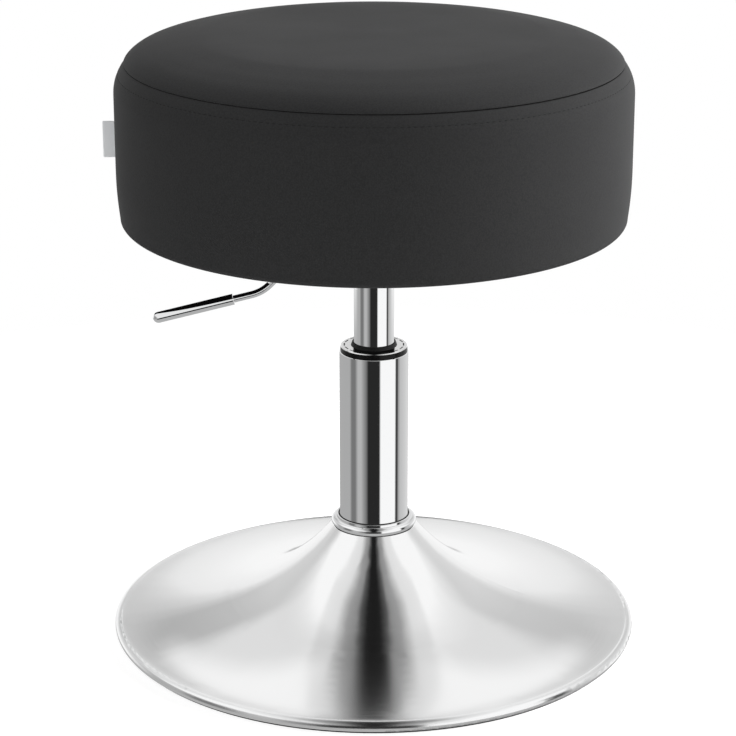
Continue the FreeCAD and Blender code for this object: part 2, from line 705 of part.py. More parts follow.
def rod_guide():
    """Guide and seal pack in the lower end of the pressure tube."""
    body = new_body("rod_guide")
    sketch = new_sketch(body, "XZ_Plane")
    rectangle(sketch, f"{ROD} + run_gap", f"{CYLINDER_BORE} - slip_gap",
              "cylinder_foot_height", "cylinder_foot_height + rod_guide_length")
    turned(body, sketch)


def valve_body():
    """Valve block under the closed top, bored for the release pin."""
    body = new_body("valve_body")
    cap = f"({CYLINDER_TOP} - cap_wall)"
    sketch = new_sketch(body, "XZ_Plane")
    rectangle(sketch, "pin_diameter / 2 + run_gap", "valve_diameter / 2 - slip_gap", f"{cap} - valve_length", cap)
    turned(body, sketch)


def release_pin():
    """Pin that opens the valve when the lever's nose pushes it down."""
    body = new_body("release_pin")
    sketch = new_sketch(body, "XZ_Plane")
    rectangle(sketch, "0", "pin_diameter / 2", f"{PIN_TOP} - pin_length", PIN_TOP)
    turned(body, sketch)


# Seat plate and lever

def plate_socket():
    """Tapered socket under the plate, with a window for the lever."""
    low = f"({CYLINDER_TOP} - socket_grip)"
    start = f"({CYLINDER_TOP} - cone_length)"
    mouth = f"({CYLINDER} + slip_gap - ({low} - {start}) * tan(cone_angle))"
    throat = f"({CYLINDER} + slip_gap - cone_length * tan(cone_angle))"
    chamber = f"({throat} + socket_chamber_gap)"
    body = turned_piece("plate_socket", [
        (mouth, low),
        ("socket_diameter / 2", low),
        ("socket_diameter / 2", PLATE_FOOT),
        (chamber, PLATE_FOOT),
        (chamber, CYLINDER_TOP),
        (throat, CYLINDER_TOP),
    ])
    window = new_sketch(body, "XZ_Plane")
    rectangle(window, "-socket_diameter", "0", f"{CYLINDER_TOP} + window_rise", PLATE_FOOT)
    cut(body, window, "window_width", both_ways=True)


def seat_plate():
    """Pressed plate with two turned-down edges and four screw holes."""
    body = new_body("seat_plate")
    side = "plate_width / 2"
    sketch = new_sketch(body, "YZ_Plane")
    bottom = f"({PLATE_FOOT} - plate_flange)"
    outline(sketch, [
        (f"-{side}", bottom),
        (f"-{side} + plate_thickness", bottom),
        (f"-{side} + plate_thickness", PLATE_FOOT),
        (f"{side} - plate_thickness", PLATE_FOOT),
        (f"{side} - plate_thickness", bottom),
        (side, bottom),
        (side, f"{BOARD_FOOT} - plate_thickness", "plate_thickness", LEFT),
        (f"{side} - plate_thickness", BOARD_FOOT),
        (f"-{side} + plate_thickness", BOARD_FOOT, "plate_thickness", LEFT),
        (f"-{side}", f"{BOARD_FOOT} - plate_thickness"),
    ])
    plate = pad(body, sketch, "plate_length", both_ways=True)
    middles = [edge.CenterOfMass for edge in plate.Shape.Edges]
    corners = [f"Edge{number}" for number, middle in enumerate(middles, start=1)
               if math.isclose(middle.z, value(bottom)) and math.isclose(abs(middle.x), value("plate_length / 2"))]
    rounding = body.newObject("PartDesign::Fillet", "seat_plate_corners")
    rounding.Base = (plate, corners)
    bind(rounding, Radius="plate_corner_radius")
    doc.recompute()
    holes = new_sketch(body, "XY_Plane", PLATE_FOOT)
    circle(holes, "screw_pitch / 2", "screw_pitch / 2", "screw_diameter + 2 * screw_hole_gap")
    ring_of(body, cut(body, holes, "plate_thickness", reverse=True), "4")


def lever_bracket():
    """Two angle lugs, welded under the plate on each side of the rocker."""
    body = new_body("lever_bracket")
    near = "(rocker_width / 2 + lug_gap)"
    low = f"({PIVOT_HEIGHT} - lug_reach)"
    sketch = new_sketch(body, "YZ_Plane", "-pivot_offset - lug_reach")
    outline(sketch, [
        (near, low),
        (f"{near} + lug_thickness", low),
        (f"{near} + lug_thickness", f"{PLATE_FOOT} - lug_thickness"),
        (f"{near} + lug_foot", f"{PLATE_FOOT} - lug_thickness"),
        (f"{near} + lug_foot", PLATE_FOOT),
        (near, PLATE_FOOT),
    ])
    lug = pad(body, sketch, "2 * lug_reach")
    hole = new_sketch(body, "XZ_Plane")
    circle(hole, "-pivot_offset", PIVOT_HEIGHT, "pivot_diameter + 2 * slip_gap")
    bore = cut(body, hole, f"2 * ({near} + lug_foot)", both_ways=True)
    pair = body.newObject("PartDesign::Mirrored", "lever_bracket_pair")
    pair.Originals = [lug, bore]
    pair.MirrorPlane = (origin_feature(body, "XZ_Plane"), [""])
    body.Tip = pair
    doc.recompute()


def lever_pivot():
    """Riveted pin through both lugs and the rocker, along Y."""
    body = new_body("lever_pivot")
    outside = "(rocker_width / 2 + lug_gap + lug_thickness)"
    end = f"({outside} + pivot_head_height)"
    sketch = new_sketch(body, "XY_Plane")
    outline(sketch, [
        ("0", f"-{end}"),
        ("pivot_head_diameter / 2", f"-{end}"),
        ("pivot_head_diameter / 2", f"-{outside}"),
        ("pivot_diameter / 2", f"-{outside}"),
        ("pivot_diameter / 2", outside),
        ("pivot_head_diameter / 2", outside),
        ("pivot_head_diameter / 2", end),
        ("0", end),
    ])
    turned(body, sketch)
    body.setExpression("Placement.Base.x", bound("-pivot_offset"))
    body.setExpression("Placement.Base.z", bound(PIVOT_HEIGHT))


def lever_rocker():
    """Block that turns on the pivot: a nose over the release pin, and a socket for the lever rod."""
    body = new_body("lever_rocker")
    half = "(rocker_width / 2)"
    slant, level = "sin(lever_drop_angle)", "cos(lever_drop_angle)"
    top = f"({PIVOT_HEIGHT} + rocker_half_height)"
    low = f"({PIVOT_HEIGHT} - rocker_half_height)"
    nose = f"({PIN_TOP} + nose_gap)"
    nose_root = "(-pivot_offset + rocker_half_height + pivot_diameter / 2)"
    mouth = f"({LEVER_END} - rocker_grip * {level})"
    mouth_height = f"({LEVER_END_HEIGHT} - rocker_grip * {slant})"
    over = f"({LEVER_END} - {half} * {slant} + ({top} - {LEVER_END_HEIGHT} - {half} * {level}) * {level} / {slant})"
    under = f"({LEVER_END} + {half} * {slant} + ({low} - {LEVER_END_HEIGHT} + {half} * {level}) * {level} / {slant})"
    sketch = new_sketch(body, "XZ_Plane")
    outline(sketch, [
        ("rocker_nose_reach", nose),
        ("rocker_nose_reach", top),
        (over, top),
        (f"{mouth} - {half} * {slant}", f"{mouth_height} + {half} * {level}"),
        (f"{mouth} + {half} * {slant}", f"{mouth_height} - {half} * {level}"),
        (under, low),
        (nose_root, low),
        (f"{nose_root} + {nose} - {low}", nose),
    ])
    pad(body, sketch, "rocker_width", both_ways=True)
    bore = new_sketch(body, "XZ_Plane")
    circle(bore, "-pivot_offset", PIVOT_HEIGHT, "pivot_diameter + 2 * run_gap")
    cut(body, bore, "rocker_width", both_ways=True)
    socket = new_sketch(body, "XZ_Plane")
    hole = "(lever_diameter / 2 + slip_gap)"
    outline(socket, [
        (LEVER_END, LEVER_END_HEIGHT),
        (mouth, mouth_height),
        (f"{mouth} - {hole} * {slant}", f"{mouth_height} + {hole} * {level}"),
        (f"{LEVER_END} - {hole} * {slant}", f"{LEVER_END_HEIGHT} + {hole} * {level}"),
    ])
    axis_line(socket, (LEVER_END, LEVER_END_HEIGHT), (mouth, mouth_height))
    turned(body, socket, "Groove", "Axis0")


def lever_rod():
    """Bent rod from the rocker out past the seat's middle, swept along two legs and a bend."""
    body = new_body("lever_rod")
    path = new_sketch(body, "XZ_Plane")
    tangent = "(lever_bend_radius * tan((lever_drop_angle - handle_slope) / 2))"
    reach = "(handle_start + handle_length - handle_tip_wall)"
    outline(path, [
        (LEVER_END, LEVER_END_HEIGHT),
        (f"{ELBOW} + {tangent} * cos(lever_drop_angle)",
         f"{ELBOW_HEIGHT} + {tangent} * sin(lever_drop_angle)", "lever_bend_radius", RIGHT),
        (f"{ELBOW} - {tangent} * cos(handle_slope)", f"{ELBOW_HEIGHT} - {tangent} * sin(handle_slope)"),
        (f"{ELBOW} - {reach} * cos(handle_slope)", f"{ELBOW_HEIGHT} - {reach} * sin(handle_slope)"),
    ], closed=False)
    doc.recompute()
    section = body.newObject("Sketcher::SketchObject", "lever_rod_section")
    section.AttachmentSupport = [(path, "Edge1"), (path, "Vertex1")]
    section.MapMode = "NormalToEdge"
    circle(section, "0", "0", "lever_diameter")
    doc.recompute()
    sweep = body.newObject("PartDesign::AdditivePipe", "lever_rod_sweep")
    sweep.Profile = section
    sweep.Spine = path
    doc.recompute()


def lever_handle():
    """Grip sleeve with a rounded tip, drawn upright and laid along the lever's outer leg."""
    edge, bore = "(handle_diameter / 2)", "(lever_diameter / 2 + slip_gap)"
    depth = "(handle_length - handle_tip_wall)"
    body = turned_piece("lever_handle", [
        (bore, "0"),
        (edge, "0"),
        (edge, f"handle_length - {edge}", edge, LEFT),
        ("0", "handle_length"),
        ("0", depth),
        (bore, depth),
    ])
    body.Placement = FreeCAD.Placement(FreeCAD.Vector(), FreeCAD.Rotation(FreeCAD.Vector(0, 1, 0), -90))
    body.setExpression("Placement.Base.x", bound(f"{ELBOW} - handle_start * cos(handle_slope)"))
    body.setExpression("Placement.Base.z", bound(f"{ELBOW_HEIGHT} - handle_start * sin(handle_slope)"))
    body.setExpression("Placement.Rotation.Angle", bound("-(90 + handle_slope)"))


def fastener_ring(label, corners):
    """Four like fasteners at the plate's corners, each turned about its own upright axis.

    A corner's first formula is its distance from the fastener's axis.
    """
    body = new_body(label)
    sketch = new_sketch(body, "XZ_Plane")
    outline(sketch, [(f"{SCREW_CIRCLE} + {across}", up) for across, up in corners])
    axis_line(sketch, (SCREW_CIRCLE, BOARD_FOOT), (SCREW_CIRCLE, BOARD_TOP))
    ring_of(body, turned(body, sketch, axis="Axis0"), "4")
    body.Placement = FreeCAD.Placement(FreeCAD.Vector(), FreeCAD.Rotation(FreeCAD.Vector(0, 0, 1), 45))


def seat_screws():
    """Pan-head screws from below."""
    seat = f"({PLATE_FOOT} - flat_washer_thickness)"
    head = "screw_head_diameter / 2"
    fastener_ring("seat_screws", [
        ("0", f"{seat} - screw_head_height"),
        (f"{head} * 0.7", f"{seat} - screw_head_height"),
        (head, f"{seat} - screw_head_height / 2"),
        (head, seat),
        ("screw_diameter / 2", seat),
        ("screw_diameter / 2", f"{BOARD_TOP} - screw_end_gap"),
        ("0", f"{BOARD_TOP} - screw_end_gap"),
    ])


def screw_washers():
    """Flat washers between the screw heads and the plate."""
    hole, edge = "screw_diameter / 2 + screw_hole_gap", "flat_washer_diameter / 2"
    low = f"({PLATE_FOOT} - flat_washer_thickness)"
    fastener_ring("screw_washers", [(hole, low), (edge, low), (edge, PLATE_FOOT), (hole, PLATE_FOOT)])


def tee_nuts():
    """Tee nuts sunk into the top of the board."""
    bore = "screw_diameter / 2 + slip_gap"
    flange = f"({BOARD_TOP} - tee_flange_thickness)"
    low = f"({flange} - tee_barrel_length)"
    fastener_ring("tee_nuts", [
        (bore, low),
        ("tee_barrel_diameter / 2", low),
        ("tee_barrel_diameter / 2", flange),
        ("tee_flange_diameter / 2", flange),
        ("tee_flange_diameter / 2", BOARD_TOP),
        (bore, BOARD_TOP),
    ])


# Upholstered seat

def seat_board():
    """Plywood disc with stepped holes for the tee nuts."""
    body = new_body("seat_board")
    sketch = new_sketch(body, "XY_Plane", BOARD_FOOT)
    circle(sketch, "0", "0", "board_diameter")
    pad(body, sketch, "board_thickness")
    steps = (("tee_barrel_diameter", "board_thickness"), ("tee_flange_diameter", "tee_flange_thickness"))
    for width, depth in steps:
        hole = new_sketch(body, "XY_Plane", BOARD_TOP)
        circle(hole, "screw_pitch / 2", "screw_pitch / 2", f"{width} + 2 * slip_gap")
        ring_of(body, cut(body, hole, depth), "4")


def crown_corners(inset):
    """Half profile of the seat's top, a distance inside its outer face, from the middle to the seam."""
    tip = f"({SEAM_HEIGHT} + crown_height)"
    edge_across = f"({SEAM} - crown_edge_radius * sin(crown_edge_slope))"
    edge_up = f"({SEAM_HEIGHT} - crown_edge_radius * cos(crown_edge_slope))"
    dome_up = f"({tip} - crown_dome_radius)"
    # The shoulder's middle is where circles about the dome's and the edge's middles cross.
    far = "(crown_dome_radius - crown_shoulder_radius)"
    near = "(crown_shoulder_radius - crown_edge_radius)"
    rise = f"({edge_up} - {dome_up})"
    span = f"sqrt({edge_across}^2 + {rise}^2)"
    along = f"(({far}^2 - {near}^2 + {span}^2) / (2 * {span}))"
    aside = f"sqrt({far}^2 - {along}^2)"
    shoulder_across = f"(({along} * {edge_across} - {aside} * {rise}) / {span})"
    shoulder_up = f"({dome_up} + ({along} * {rise} + {aside} * {edge_across}) / {span})"
    return [
        ("0", f"{tip} - {inset}", f"crown_dome_radius - {inset}", RIGHT),
        (f"{shoulder_across} * (crown_dome_radius - {inset}) / {far}",
         f"{dome_up} + ({shoulder_up} - {dome_up}) * (crown_dome_radius - {inset}) / {far}",
         f"crown_shoulder_radius - {inset}", RIGHT),
        (f"{edge_across} + ({edge_across} - {shoulder_across}) * (crown_edge_radius - {inset}) / {near}",
         f"{edge_up} + ({edge_up} - {shoulder_up}) * (crown_edge_radius - {inset}) / {near}",
         f"crown_edge_radius - {inset}", RIGHT),
        (f"{SEAM} - {inset} * sin(crown_edge_slope)", f"{SEAM_HEIGHT} - {inset} * cos(crown_edge_slope)"),
    ]


def side_corners(inset, hem):
    """Half profile of the seat's side, a distance inside its outer face, from the seam to the hem."""
    rounding = f"(side_shoulder_radius - {inset})"
    foot = f"({SEAT_FOOT} + side_edge_radius)"
    middle = f"({SEAT} - side_lower_radius)"
    reach = "(side_lower_radius - side_edge_radius)"
    fall = f"({TURN_LINE} - {foot})"
    across = f"sqrt({reach}^2 - {fall}^2)"
    return [
        (f"{SEAT} - side_shoulder_radius + {rounding} * {LEAN}",
         f"{SHOULDER_LINE} + {rounding} * side_shoulder_drop / side_shoulder_radius", rounding, RIGHT),
        (f"{SEAT} - {inset}", SHOULDER_LINE),
        (f"{SEAT} - {inset}", TURN_LINE, f"side_lower_radius - {inset}", RIGHT),
        (f"{middle} + {across} * (side_lower_radius - {inset}) / {reach}",
         f"{TURN_LINE} - {fall} * (side_lower_radius - {inset}) / {reach}", f"side_edge_radius - {inset}", RIGHT),
        (f"{middle} + {across}", f"{SEAT_FOOT} + {inset}"),
        (hem, f"{SEAT_FOOT} + {inset}"),
    ]


def reversed_corners(corners):
    """The same run of corners walked the other way, with each bend on the edge that it belongs to."""
    flipped = []
    for index in reversed(range(len(corners))):
        bent = corners[index - 1][2:] if index else ()
        flipped.append((*corners[index][:2], *((bent[0], -bent[1]) if bent else ())))
    return flipped


def foam_core():
    """Moulded foam under the cover: a crowned top, drawn-in sides and a skirt round the board."""
    inset = "(cover_thickness + foam_gap)"
    skirt = "(board_diameter / 2 + board_gap)"
    turned_piece("foam_core", [
        *crown_corners(inset),
        *side_corners(inset, skirt),
        (skirt, BOARD_TOP),
        ("0", BOARD_TOP),
    ])


def cover_top_panel():
    """Round top panel of the cover, crowned and sewn down at the seam."""
    turned_piece("cover_top_panel", [
        *crown_corners("0"),
        *reversed_corners(crown_corners("cover_thickness")),
    ])


def cover_side_band():
    """Side band of the cover, drawn in at the seam and turned under the board."""
    hem = "hem_diameter / 2"
    turned_piece("cover_side_band", [
        *side_corners("0", hem),
        *reversed_corners(side_corners("cover_thickness", hem)),
    ])


def dust_cover():
    """Thin fabric ring that closes the underside round the plate."""
    body = new_body("dust_cover")
    sketch = new_sketch(body, "XY_Plane", f"{SEAT_FOOT} - dust_cover_thickness")
    circle(sketch, "0", "0", "dust_cover_diameter")
    circle(sketch, "0", "0", "dust_cover_opening")
    pad(body, sketch, "dust_cover_thickness")


def hem_staples():
    """Ring of staples through dust cover and hem into the board."""
    body = new_body("hem_staples")
    half, inner = "staple_crown / 2", "(staple_crown / 2 - staple_wire)"
    top = f"({SEAT_FOOT} - dust_cover_thickness)"
    low = f"({top} - staple_wire)"
    sketch = new_sketch(body, "XZ_Plane", "-(staple_circle_diameter + staple_wire) / 2")
    outline(sketch, [
        (f"-{half}", low),
        (half, low),
        (half, f"{low} + staple_leg"),
        (inner, f"{low} + staple_leg"),
        (inner, top),
        (f"-{inner}", top),
        (f"-{inner}", f"{low} + staple_leg"),
        (f"-{half}", f"{low} + staple_leg"),
    ])
    ring_of(body, pad(body, sketch, "staple_wire"), "staple_count")


def side_tag():
    """Bare folded tab that stands out of the side band's upright join."""
    body = new_body("side_tag")
    half = "tag_thickness / 2"
    tip = f"-({SEAT} + tag_reach - {half})"
    sketch = new_sketch(body, "XY_Plane", f"{SEAT_FOOT} + tag_rise - tag_height / 2")
    outline(sketch, [
        (f"-{SEAT}", f"-{half}"),
        (f"-{SEAT}", half),
        (tip, half, half, LEFT),
        (f"-({SEAT} + tag_reach)", "0", half, LEFT),
        (tip, f"-{half}"),
    ])
    pad(body, sketch, "tag_height")


# The whole stool

base_shell()
base_floor_ring()
base_bottom_plate()
base_hub()
neck_trim_ring()
column_tube()
guide_bush()
wiper_seal()
bearing_washer("bearing_lower_washer", "(column_foot_height + column_foot_wall)", "column_foot_gap")
bearing_washer("bearing_upper_washer", SECOND_WASHER, "slip_gap")
bearing_cage()
bearing_balls()
piston_rod()
rod_clip()
bump_stop()
piston()
piston_seal()
gas_cylinder()
rod_guide()
valve_body()
release_pin()
plate_socket()
seat_plate()
lever_bracket()
lever_pivot()
lever_rocker()
lever_rod()
lever_handle()
seat_screws()
screw_washers()
tee_nuts()
seat_board()
foam_core()
cover_top_panel()
cover_side_band()
dust_cover()
hem_staples()
side_tag()
doc.recompute()

for item in doc.Objects:
    if "Invalid" in item.State or "Error" in item.State:
        raise RuntimeError(f"{item.Label} failed: {item.State}")
for body in bodies:
    if body.Shape.isNull() or not body.Shape.isValid() or not body.Shape.Solids:
        raise RuntimeError(f"{body.Label} has no valid solid")

os.makedirs("parts", exist_ok=True)
for body in bodies:
    body.Shape.exportStep(f"parts/{body.Label}.step")
    print(body.Label, len(body.Shape.Solids), "solids", round(body.Shape.Volume / 1000, 2), "cm3")
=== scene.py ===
# %% [markdown]
# # A round swivel stool with a gas column
# The solids come packed and fixed, so this lesson dresses them: soft pieces are sewn and swollen
# here, and every hard piece keeps its solid and gets a finish. Everything is in metres, with the
# floor at zero height and the column on the upright axis.

# %% Load the fixed frame
import math

import bpy
from mathutils import Matrix, Vector


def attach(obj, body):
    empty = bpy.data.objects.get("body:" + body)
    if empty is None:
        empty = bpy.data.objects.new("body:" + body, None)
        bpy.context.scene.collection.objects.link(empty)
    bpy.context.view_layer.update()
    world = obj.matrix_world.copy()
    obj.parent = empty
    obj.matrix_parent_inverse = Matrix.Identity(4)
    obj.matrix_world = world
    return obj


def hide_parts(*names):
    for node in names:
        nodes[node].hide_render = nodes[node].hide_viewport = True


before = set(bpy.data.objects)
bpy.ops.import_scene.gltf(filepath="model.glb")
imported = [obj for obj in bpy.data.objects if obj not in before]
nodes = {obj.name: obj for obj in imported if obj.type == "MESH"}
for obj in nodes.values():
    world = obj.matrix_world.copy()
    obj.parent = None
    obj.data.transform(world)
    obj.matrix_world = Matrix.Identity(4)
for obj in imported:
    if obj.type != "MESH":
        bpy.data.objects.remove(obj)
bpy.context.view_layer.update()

scene = bpy.context.scene
scene.view_settings.view_transform = "Standard"

# %% [markdown]
# ## The camera
# The picture looks down on the seat by about eighteen degrees with a long lens, from less than
# two metres away. The camera stands a few millimetres to the left, because the stool stands that
# much right of the middle of the picture. No lens shift is needed.

# %% Set up the camera
CAMERA_PLACE, LOOK_DOWN = (-0.0043, -1.7404, 0.7796), 18.461
SENSOR_WIDTH, FOCAL_LENGTH = 36, 123.83
bpy.ops.object.select_all(action="DESELECT")
bpy.ops.object.camera_add(
    location=CAMERA_PLACE, rotation=(math.radians(90 - LOOK_DOWN), 0, 0)
)
camera = bpy.context.object
camera.name = "studio_camera"
camera.data.sensor_width = SENSOR_WIDTH
camera.data.lens = FOCAL_LENGTH
scene.camera = camera
print("camera at", tuple(round(value, 4) for value in camera.location))

# %% [markdown]
# ## Small helpers for shader nodes
# Nodes can be dragged together by hand in the shader editor. In a script, one helper that adds a
# node and fills or links its sockets keeps each finish to a few readable lines.


# %% Helpers for shader nodes
def fill(tree, socket, value):
    """Links a socket to another one, or gives it a plain value."""
    if isinstance(value, bpy.types.NodeSocket):
        tree.links.new(value, socket)
    else:
        socket.default_value = value


def put(tree, kind, settings=None, **sockets):
    """Adds a node; sockets are named with _ for a space and take a value or another socket."""
    node = tree.nodes.new("ShaderNode" + kind)
    for name, value in (settings or {}).items():
        setattr(node, name, value)
    for name, value in sockets.items():
        fill(tree, node.inputs[name.replace("_", " ")], value)
    return node


def sums(tree, operation, *values):
    """One arithmetic step on numbers or sockets."""
    node = put(tree, "Math", {"operation": operation})
    for socket, value in zip(node.inputs, values):
        fill(tree, socket, value)
    return node.outputs[0]


def spread(tree, value, low, high, start=0.3, end=0.7):
    """Carries a value from start..end over to low..high, and holds it there outside."""
    node = put(
        tree, "MapRange", Value=value, From_Min=start, From_Max=end, To_Min=low, To_Max=high
    )
    return node.outputs[0]


def blend(tree, share, first, second):
    """Mixes two colours."""
    return put(tree, "MixRGB", Fac=share, Color1=first, Color2=second).outputs["Color"]


def grey(level):
    """A neutral colour."""
    return (level, level, level, 1)


print("node helpers ready")

# %% [markdown]
# ## The studio
# Polished metal has no colour of its own: it shows the room. The room here is a ring of cards
# round the stool, given by their bearing from the camera: a dark room behind the camera, one large
# soft box on the right with a thin black flag at its far edge, and grey walls. Real cards could be
# modelled as planes, but a ramp over the bearing of the world does the same without any mesh. Only
# reflections see the cards. Everything matt is lit by an even white sky and three soft lamps.

# %% Ring of cards for the reflections
CARDS = (
    # bearing from the camera in degrees, brightness
    (-180, 0.42), (-89, 0.42), (-80, 0.19), (-66, 0.19), (-55, 0.48), (-44, 0.48), (-35, 0.32),
    (-26, 0.19), (-19, 0.022), (18, 0.022), (23, 1.0), (75, 1.0), (79, 0.055), (86, 0.055),
    (90, 0.34), (99, 0.54), (150, 0.72), (180, 0.60),
)


def ramp(tree, value, steps):
    """A ramp of greys over a value from 0 to 1."""
    node = put(tree, "ValToRGB", Fac=value)
    stops = node.color_ramp.elements
    while len(stops) < len(steps):
        stops.new(0.5)
    for stop, (position, level) in zip(stops, steps):
        stop.position = position
        stop.color = grey(level)
    return node.outputs["Color"]


studio = bpy.data.worlds.new("studio")
scene.world = studio
studio.use_nodes = True
tree = studio.node_tree
tree.nodes.clear()
ray = put(tree, "SeparateXYZ", Vector=put(tree, "TexCoord").outputs["Generated"]).outputs
bearing = sums(tree, "ARCTAN2", ray["X"], sums(tree, "MULTIPLY", ray["Y"], -1))
turn = sums(tree, "MULTIPLY_ADD", bearing, 0.5 / math.pi, 0.5)
ring = ramp(tree, turn, [(degrees / 360 + 0.5, level) for degrees, level in CARDS])
print("cards in the ring:", len(CARDS))

# %% [markdown]
# ## Backdrop and ceiling of the studio
# Behind the stool stands a pale wall with a soft dark arch on it, weaker on the right, and a white
# card in the middle above the arch: together they shade the flanks of the base. The ceiling is
# two wide soft boxes, left and right, with a dark gap between them that starts over the camera and
# narrows towards the back. The gap draws the dark stripe down the front of the base.

# %% Backdrop, ceiling and what each kind of ray sees
ARCH_GREY, MIDDLE_CARD, FLOOR_GREY, SKY_LEVEL = 0.45, 0.97, 0.45, 0.35
ARCH_FOOT, ARCH_TOP = (0.36, 0.50), (0.38, 0.46)
FOOT_LEAN, TOP_LEAN = 0.4, -0.5
GAP_WIDTH, GAP_POWER = 0.60, 1.44
GAP_STEPS = (
    # share of the way from the middle of the gap to its edge, brightness
    (0.10, 0.012), (0.19, 0.085), (0.27, 0.27), (0.40, 0.34),
    (0.48, 0.52), (0.60, 0.78), (0.85, 0.84), (0.97, 1.0),
)
aside = sums(tree, "ABSOLUTE", ray["X"])
pale = spread(tree, ray["Z"], 0.97, 0.77, 0.0, 0.55)
foot = spread(tree, sums(tree, "MULTIPLY_ADD", aside, FOOT_LEAN, ray["Z"]), 0, 1, *ARCH_FOOT)
top = spread(tree, sums(tree, "MULTIPLY_ADD", aside, TOP_LEAN, ray["Z"]), 1, 0, *ARCH_TOP)
arch = sums(tree, "MULTIPLY", foot, top)
arch = sums(tree, "MULTIPLY", arch, spread(tree, aside, 1, 0.45, 0.20, 0.50))
arch = sums(tree, "MULTIPLY", arch, spread(tree, ray["X"], 1, 0.72, -0.05, 0.12))
backdrop = blend(tree, arch, pale, grey(ARCH_GREY))
card_share = spread(tree, aside, 1, 0, 0.13, 0.22)
card_share = sums(tree, "MULTIPLY", card_share, spread(tree, ray["Z"], 0, 1, 0.45, 0.50))
backdrop = blend(tree, card_share, backdrop, grey(MIDDLE_CARD))
back_share = spread(tree, ray["Y"], 0, 1, 0.25, 0.60)
back_share = sums(tree, "MULTIPLY", back_share, spread(tree, ray["Z"], 0, 1, -0.31, -0.27))
room = blend(tree, back_share, ring, backdrop)
ceiling_share = spread(tree, ray["Z"], 0, 1, 0.30, 0.52)
ceiling_share = sums(tree, "MULTIPLY", ceiling_share, sums(tree, "SUBTRACT", 1, back_share))
room = blend(tree, ceiling_share, room, grey(1))
narrowing = sums(tree, "POWER", spread(tree, ray["Y"], 1, 0, 0, 1), GAP_POWER)
across = sums(tree, "DIVIDE", aside, sums(tree, "MULTIPLY", narrowing, GAP_WIDTH))
gap = ramp(tree, across, GAP_STEPS)
gap = blend(tree, spread(tree, ray["Z"], 0, 1, 0.25, 0.40), grey(1), gap)
cards = put(tree, "MixRGB", {"blend_type": "MULTIPLY"}, Fac=1.0, Color1=room, Color2=gap)
below_floor = spread(tree, ray["Z"], 1, 0, -0.50, -0.41)
cards = blend(tree, below_floor, cards.outputs["Color"], grey(FLOOR_GREY))

light_path = put(tree, "LightPath").outputs
seen = blend(tree, light_path["Is Glossy Ray"], grey(SKY_LEVEL), cards)
seen = blend(tree, light_path["Is Camera Ray"], seen, grey(1))
sky = put(tree, "Background", Color=seen, Strength=1)
tree.links.new(sky.outputs[0], put(tree, "OutputWorld").inputs["Surface"])
print("sky level", SKY_LEVEL)

# %% [markdown]
# ## Lamps and floor
# One large soft box hangs over the stool, a second stands on its right, and a weak third one fills
# in from the front left, as in a product studio. The lamps stay out of the reflections, where the
# ring of cards already stands for them. The floor is white paper: part of what the camera sees of
# it glows, so the paper reads white, and the rest is lit, so the stool keeps its shadow. Further
# out it fades into the white room, which leaves no horizon. From below it is see-through, so that
# the underside can be looked at.


# %% Lamps and floor
def soft_box(name, place, aim, size, watts):
    """A square area lamp that points at aim."""
    bpy.ops.object.light_add(type="AREA", location=place)
    lamp = bpy.context.object
    lamp.name = name
    lamp.data.size = size
    lamp.data.energy = watts
    line = [a - b for a, b in zip(aim, place)]
    flat = math.hypot(line[0], line[1])
    lamp.rotation_euler = (math.atan2(flat, -line[2]), 0, math.atan2(-line[0], line[1]))
    lamp.visible_glossy = lamp.visible_camera = False


soft_box("top_soft_box", (0.6, 0.5, 2.2), (0, 0, 0.2), 1.6, 25)
soft_box("right_soft_box", (1.9, 0.2, 0.8), (0, 0, 0.35), 1.2, 70)
soft_box("left_fill_box", (-0.9, -1.7, 1.0), (0, 0, 0.35), 0.9, 9)

bpy.ops.object.select_all(action="DESELECT")
FLOOR_SIZE, PAPER_WHITE, PAPER_GLOW, PAPER_SHADE = 24, 0.9, 0.76, 0.55
FADE_START, FADE_END = 0.35, 0.80
bpy.ops.mesh.primitive_plane_add(size=FLOOR_SIZE, location=(0, 0, 0))
floor = bpy.context.object
floor.name = "paper_floor"
floor.visible_glossy = False
paper = bpy.data.materials.new("white_paper")
paper.use_nodes = True
tree = paper.node_tree
tree.nodes.clear()
in_view = put(tree, "LightPath").outputs["Is Camera Ray"]
lit = put(tree, "BsdfDiffuse", Color=blend(tree, in_view, grey(PAPER_WHITE), grey(PAPER_SHADE)))
glow = put(tree, "Emission", Color=grey(1), Strength=sums(tree, "MULTIPLY", in_view, PAPER_GLOW))
both = put(tree, "AddShader")
tree.links.new(lit.outputs[0], both.inputs[0])
tree.links.new(glow.outputs[0], both.inputs[1])
spot = put(tree, "TexCoord").outputs["Object"]
away = put(tree, "VectorMath", {"operation": "LENGTH"}, Vector=spot).outputs["Value"]
faded = sums(tree, "MULTIPLY", in_view, spread(tree, away, 0, 1, FADE_START, FADE_END))
hidden = sums(tree, "MAXIMUM", faded, put(tree, "NewGeometry").outputs["Backfacing"])
sided = put(tree, "MixShader", Fac=hidden)
tree.links.new(both.outputs[0], sided.inputs[1])
tree.links.new(put(tree, "BsdfTransparent").outputs[0], sided.inputs[2])
tree.links.new(sided.outputs[0], put(tree, "OutputMaterial").inputs["Surface"])
floor.data.materials.append(paper)

# %% [markdown]
# ## Turning a profile
# Most of this stool is round, so a profile is drawn point by point and spun about the upright
# axis. A ready cylinder could be cut to shape, but the profile keeps every edge where it is
# measured. A plane merged to one vertex is the start, and extruding that vertex draws the line.


